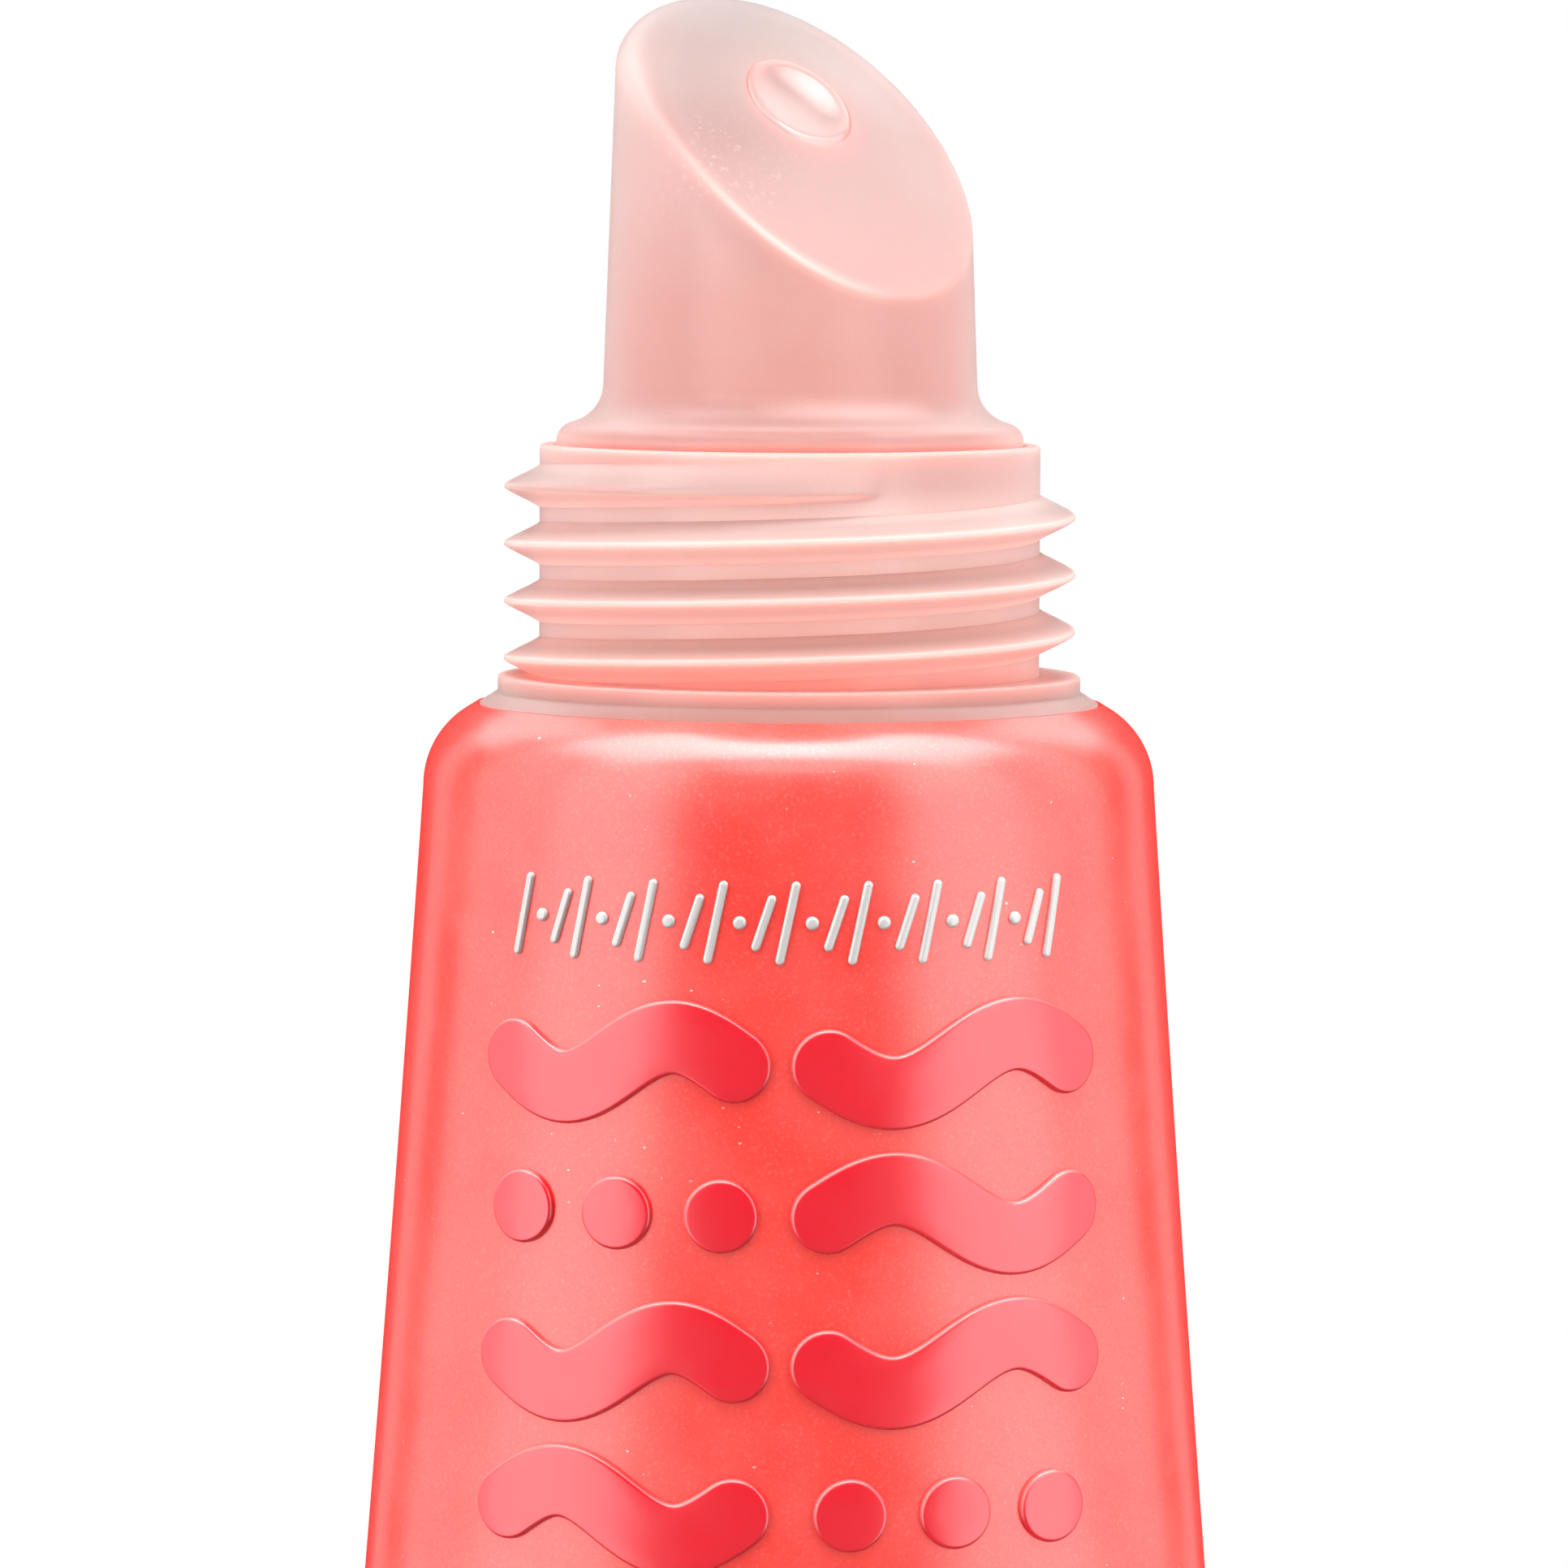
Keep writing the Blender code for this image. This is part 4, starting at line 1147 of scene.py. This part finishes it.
def neck_material():
    return translucent_material("neck_plastic", NECK_TINTS, colour(192, 177, 173), NECK_CREST_HIGHLIGHT,
                                NECK_VALLEY_PAINTED_LIGHT, NECK_SLOPE_SHADE, rough=0.4, glow=1.2)


def tip_material():
    return translucent_material("tip_plastic", TIP_TINTS, colour(222, 204, 200), TIP_CREST_HIGHLIGHT,
                                TIP_VALLEY_PAINTED_LIGHT, TIP_SLOPE_SHADE, rough=0.42, glow=0.8)


def gel_material():
    """Clear pink gloss with a wet, mirror-like skin."""
    material, s, out = new_material("gloss_gel", Roughness=0.06)
    swirl = s.noise(s.object_place(), 600.0, 2.0)
    near = colour(214, 188, 184)
    s.feed(out, "Base Color", s.mix(s.span(s.facing(), 0.1, 0.8), near, colour(205, 160, 154)))
    scatter(s, out, 0.4, 0.001)
    s.feed(out, "Specular IOR Level", 0.6)
    # painted glow, seen only by diffuse rays
    inner_glow(s, out, colour(240, 170, 160), 0.8)
    s.feed(out, "Normal", s.bump(swirl, 0.1, 0.00005))
    return material


def cap_material():
    """Polished coral red plastic with a trace of pearl and faint handling marks."""
    material, s, out = new_material("cap_polish")
    place = s.object_place()
    swirl = s.noise(place, 260.0, 3.0)
    body = dimmed(colour(250, 66, 60), 0.8)
    base = s.mix(s.span(swirl, 0.35, 0.65, 0.0, 0.3), body, dimmed(colour(255, 96, 86), 0.8))
    s.feed(out, "Base Color", base)
    marks = s.noise(place, 1800.0, 4.0, 0.7)
    s.feed(out, "Roughness", s.span(marks, 0.4, 0.75, 0.16, 0.26))
    fading_shine(s, out, (0.55, 0.85, 0.5, 0.08), (0.4, 0.7, 0.35, 0.0), 0.05)
    s.feed(out, "Normal", s.bump(marks, 0.05, 0.00002))
    return material


def moulded_material(name, base, rough, scale, depth):
    """Plain moulded or foamed plastic with a visible grain."""
    material, s, out = new_material(name)
    grain = s.noise(s.object_place(), scale, 3.0, 0.6)
    s.feed(out, "Base Color", s.mix(s.span(grain, 0.3, 0.7, 0.0, 0.35), base, dimmed(base, 0.86)))
    s.feed(out, "Roughness", s.span(grain, 0.3, 0.7, rough, rough + 0.12))
    s.feed(out, "Subsurface Weight", 0.15)
    s.feed(out, "Subsurface Scale", 0.0006)
    s.feed(out, "Normal", s.bump(grain, 0.3, depth))
    return material


def insert_material():
    white = colour(240, 238, 235)
    return moulded_material("insert_plastic", white, rough=0.35, scale=2500.0, depth=2e-5)


def seal_material():
    off_white = colour(232, 228, 222)
    return moulded_material("seal_foam", off_white, rough=0.7, scale=5000.0, depth=6e-5)


# ------------------------ studio

SIDE_LIGHT = 2.8
SIDE_REAR_LIGHT = 1.4
RIM_LIGHT = 0.7
TOP_LIGHT = 6.6
FRONT_LIGHT = 3.0
BACKDROP_LIGHT = 1.8
AMBIENT_LIGHT = 0.06

# Where each light starts and ends, each with the softness of that edge. Azimuths are degrees away
# from the front, alike on both sides; elevations are degrees above the horizon.
SIDE_AZIMUTHS = (36.0, 8.0, 78.0, 6.0)
SIDE_REAR_AZIMUTHS = (78.0, 6.0, 116.0, 5.0)
RIM_AZIMUTHS = (132.0, 3.0, 147.0, 4.0)
SIDE_ELEVATIONS = (-35.0, 10.0, 48.0, 8.0)
BACKDROP_ELEVATIONS = (25.0, 3.0, 55.0, 8.0)
FRONT_ELEVATIONS = (46.0, 4.0, 58.0, 4.0)
TOP_ALONG = (-0.34, 0.12, 0.42, 0.1)    # on the overhead plane, per unit of height, front positive

FLOOR_RADIUS = 0.24             # metres
FLOOR_DROP = 0.0005
CAMERA_LENS = 193.0
CAMERA_TILT_DEG = 4.3
CAMERA_ROLL_DEG = 0.25
CAMERA_PLACE = (-0.12, -220.0, NECK_TOP_Z + 7.63)


def make_world():
    """White to the camera; to the object, a tall softbox at each side and a wide one overhead."""
    world = bpy.data.worlds.new("studio")
    bpy.context.scene.world = world
    world.use_nodes = True
    tree = world.node_tree
    tree.nodes.clear()
    s = Shader(tree)
    split = s.add("SeparateXYZ")
    s.feed(split, 0, s.add("TexCoord").outputs["Generated"])
    x, y, z = split.outputs
    front = s.times(y, -1.0)
    azimuth = s.math("ABSOLUTE", s.math("DEGREES", s.math("ARCTAN2", x, front)))
    elevation = s.math("DEGREES", s.math("ARCSINE", z))

    def window(value, low, low_soft, high, high_soft):
        rise = s.span(value, low - low_soft, low + low_soft)
        fall = s.span(value, high - high_soft, high + high_soft, 1.0, 0.0)
        return s.times(rise, fall)

    side = s.times(window(azimuth, *SIDE_AZIMUTHS), SIDE_LIGHT)
    rear = s.times(window(azimuth, *SIDE_REAR_AZIMUTHS), SIDE_REAR_LIGHT)
    rim = s.times(window(azimuth, *RIM_AZIMUTHS), RIM_LIGHT)
    sides = s.times(window(elevation, *SIDE_ELEVATIONS), s.plus(s.plus(side, rear), rim))

    height = s.math("MAXIMUM", z, 0.05)
    across = s.math("DIVIDE", s.math("ABSOLUTE", x), height)
    along = s.math("DIVIDE", front, height)
    over = s.times(s.span(across, 0.6, 1.2, 1.0, 0.0), window(along, *TOP_ALONG))
    top = s.times(s.times(over, s.span(across, 0.05, 0.45, 1.6, 1.0)), TOP_LIGHT)

    behind = s.times(s.span(azimuth, 118.0, 130.0), window(elevation, *BACKDROP_ELEVATIONS))
    ahead = s.times(s.span(azimuth, 24.0, 34.0, 1.0, 0.0), window(elevation, *FRONT_ELEVATIONS))
    total = s.plus(s.plus(sides, s.plus(top, s.times(ahead, FRONT_LIGHT))),
                   s.plus(s.times(behind, BACKDROP_LIGHT), AMBIENT_LIGHT))
    seen = s.add("LightPath").outputs["Is Camera Ray"]
    strength = s.plus(s.times(total, s.math("SUBTRACT", 1.0, seen)), seen)
    background = s.add("Background")
    s.feed(background, "Color", (1.0, 1.0, 1.0, 1.0))
    s.feed(background, "Strength", strength)
    output = s.add("OutputWorld")
    tree.links.new(background.outputs[0], output.inputs[0])


def make_floor():
    bm = bmesh.new()
    bmesh.ops.create_circle(bm, cap_ends=True, segments=96, radius=FLOOR_RADIUS)
    mesh = bpy.data.meshes.new("floor")
    bm.to_mesh(mesh)
    bm.free()
    floor = bpy.data.objects.new("floor", mesh)
    floor.location = (0.0, 0.0, cad_low.z - FLOOR_DROP)
    floor.visible_glossy = False
    bpy.context.scene.collection.objects.link(floor)
    material, s, out = new_material("pale_floor", Roughness=0.6)
    s.feed(out, "Base Color", (0.34, 0.34, 0.34, 1.0))
    s.feed(out, "Specular IOR Level", 0.1)
    mesh.materials.append(material)


def make_camera():
    """A long lens a little below the tip's height, tilted slightly down."""
    camera = bpy.data.objects.new("camera", bpy.data.cameras.new("camera"))
    bpy.context.scene.collection.objects.link(camera)
    camera.data.sensor_width = 36.0
    camera.data.lens = CAMERA_LENS
    camera.data.clip_start = 0.01
    camera.data.clip_end = 10.0
    tilt = Matrix.Rotation(math.radians(90.0 - CAMERA_TILT_DEG), 4, "X")
    roll = Matrix.Rotation(math.radians(CAMERA_ROLL_DEG), 4, "Z")
    camera.matrix_world = Matrix.Translation(Vector(CAMERA_PLACE) * MM) @ tilt @ roll
    bpy.context.scene.camera = camera


# ------------------------ assembly

def finish_piece(piece, material, body, node=None):
    piece.data.materials.clear()
    piece.data.materials.append(material)
    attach(piece, body)
    if node:
        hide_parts(node)


finish_piece(make_sleeve(), pearl_material(), "tube", "tube_sleeve")
finish_piece(make_neck(), neck_material(), "tube", "threaded_neck")
finish_piece(make_applicator(), tip_material(), "tube", "slant_applicator")
finish_piece(make_gloss(), gel_material(), "tube", "gloss_fill")
finish_piece(make_waves(), red_varnish_material(), "tube")
finish_piece(make_dashes(), white_varnish_material(), "tube")
finish_piece(make_cap_shell(), cap_material(), "cap", "cap_shell")
finish_piece(make_cap_insert(), insert_material(), "cap", "cap_insert")
finish_piece(make_cap_seal(), seal_material(), "seal", "cap_seal")

make_world()
make_floor()
make_camera()
bpy.context.scene.view_settings.view_transform = "Standard"
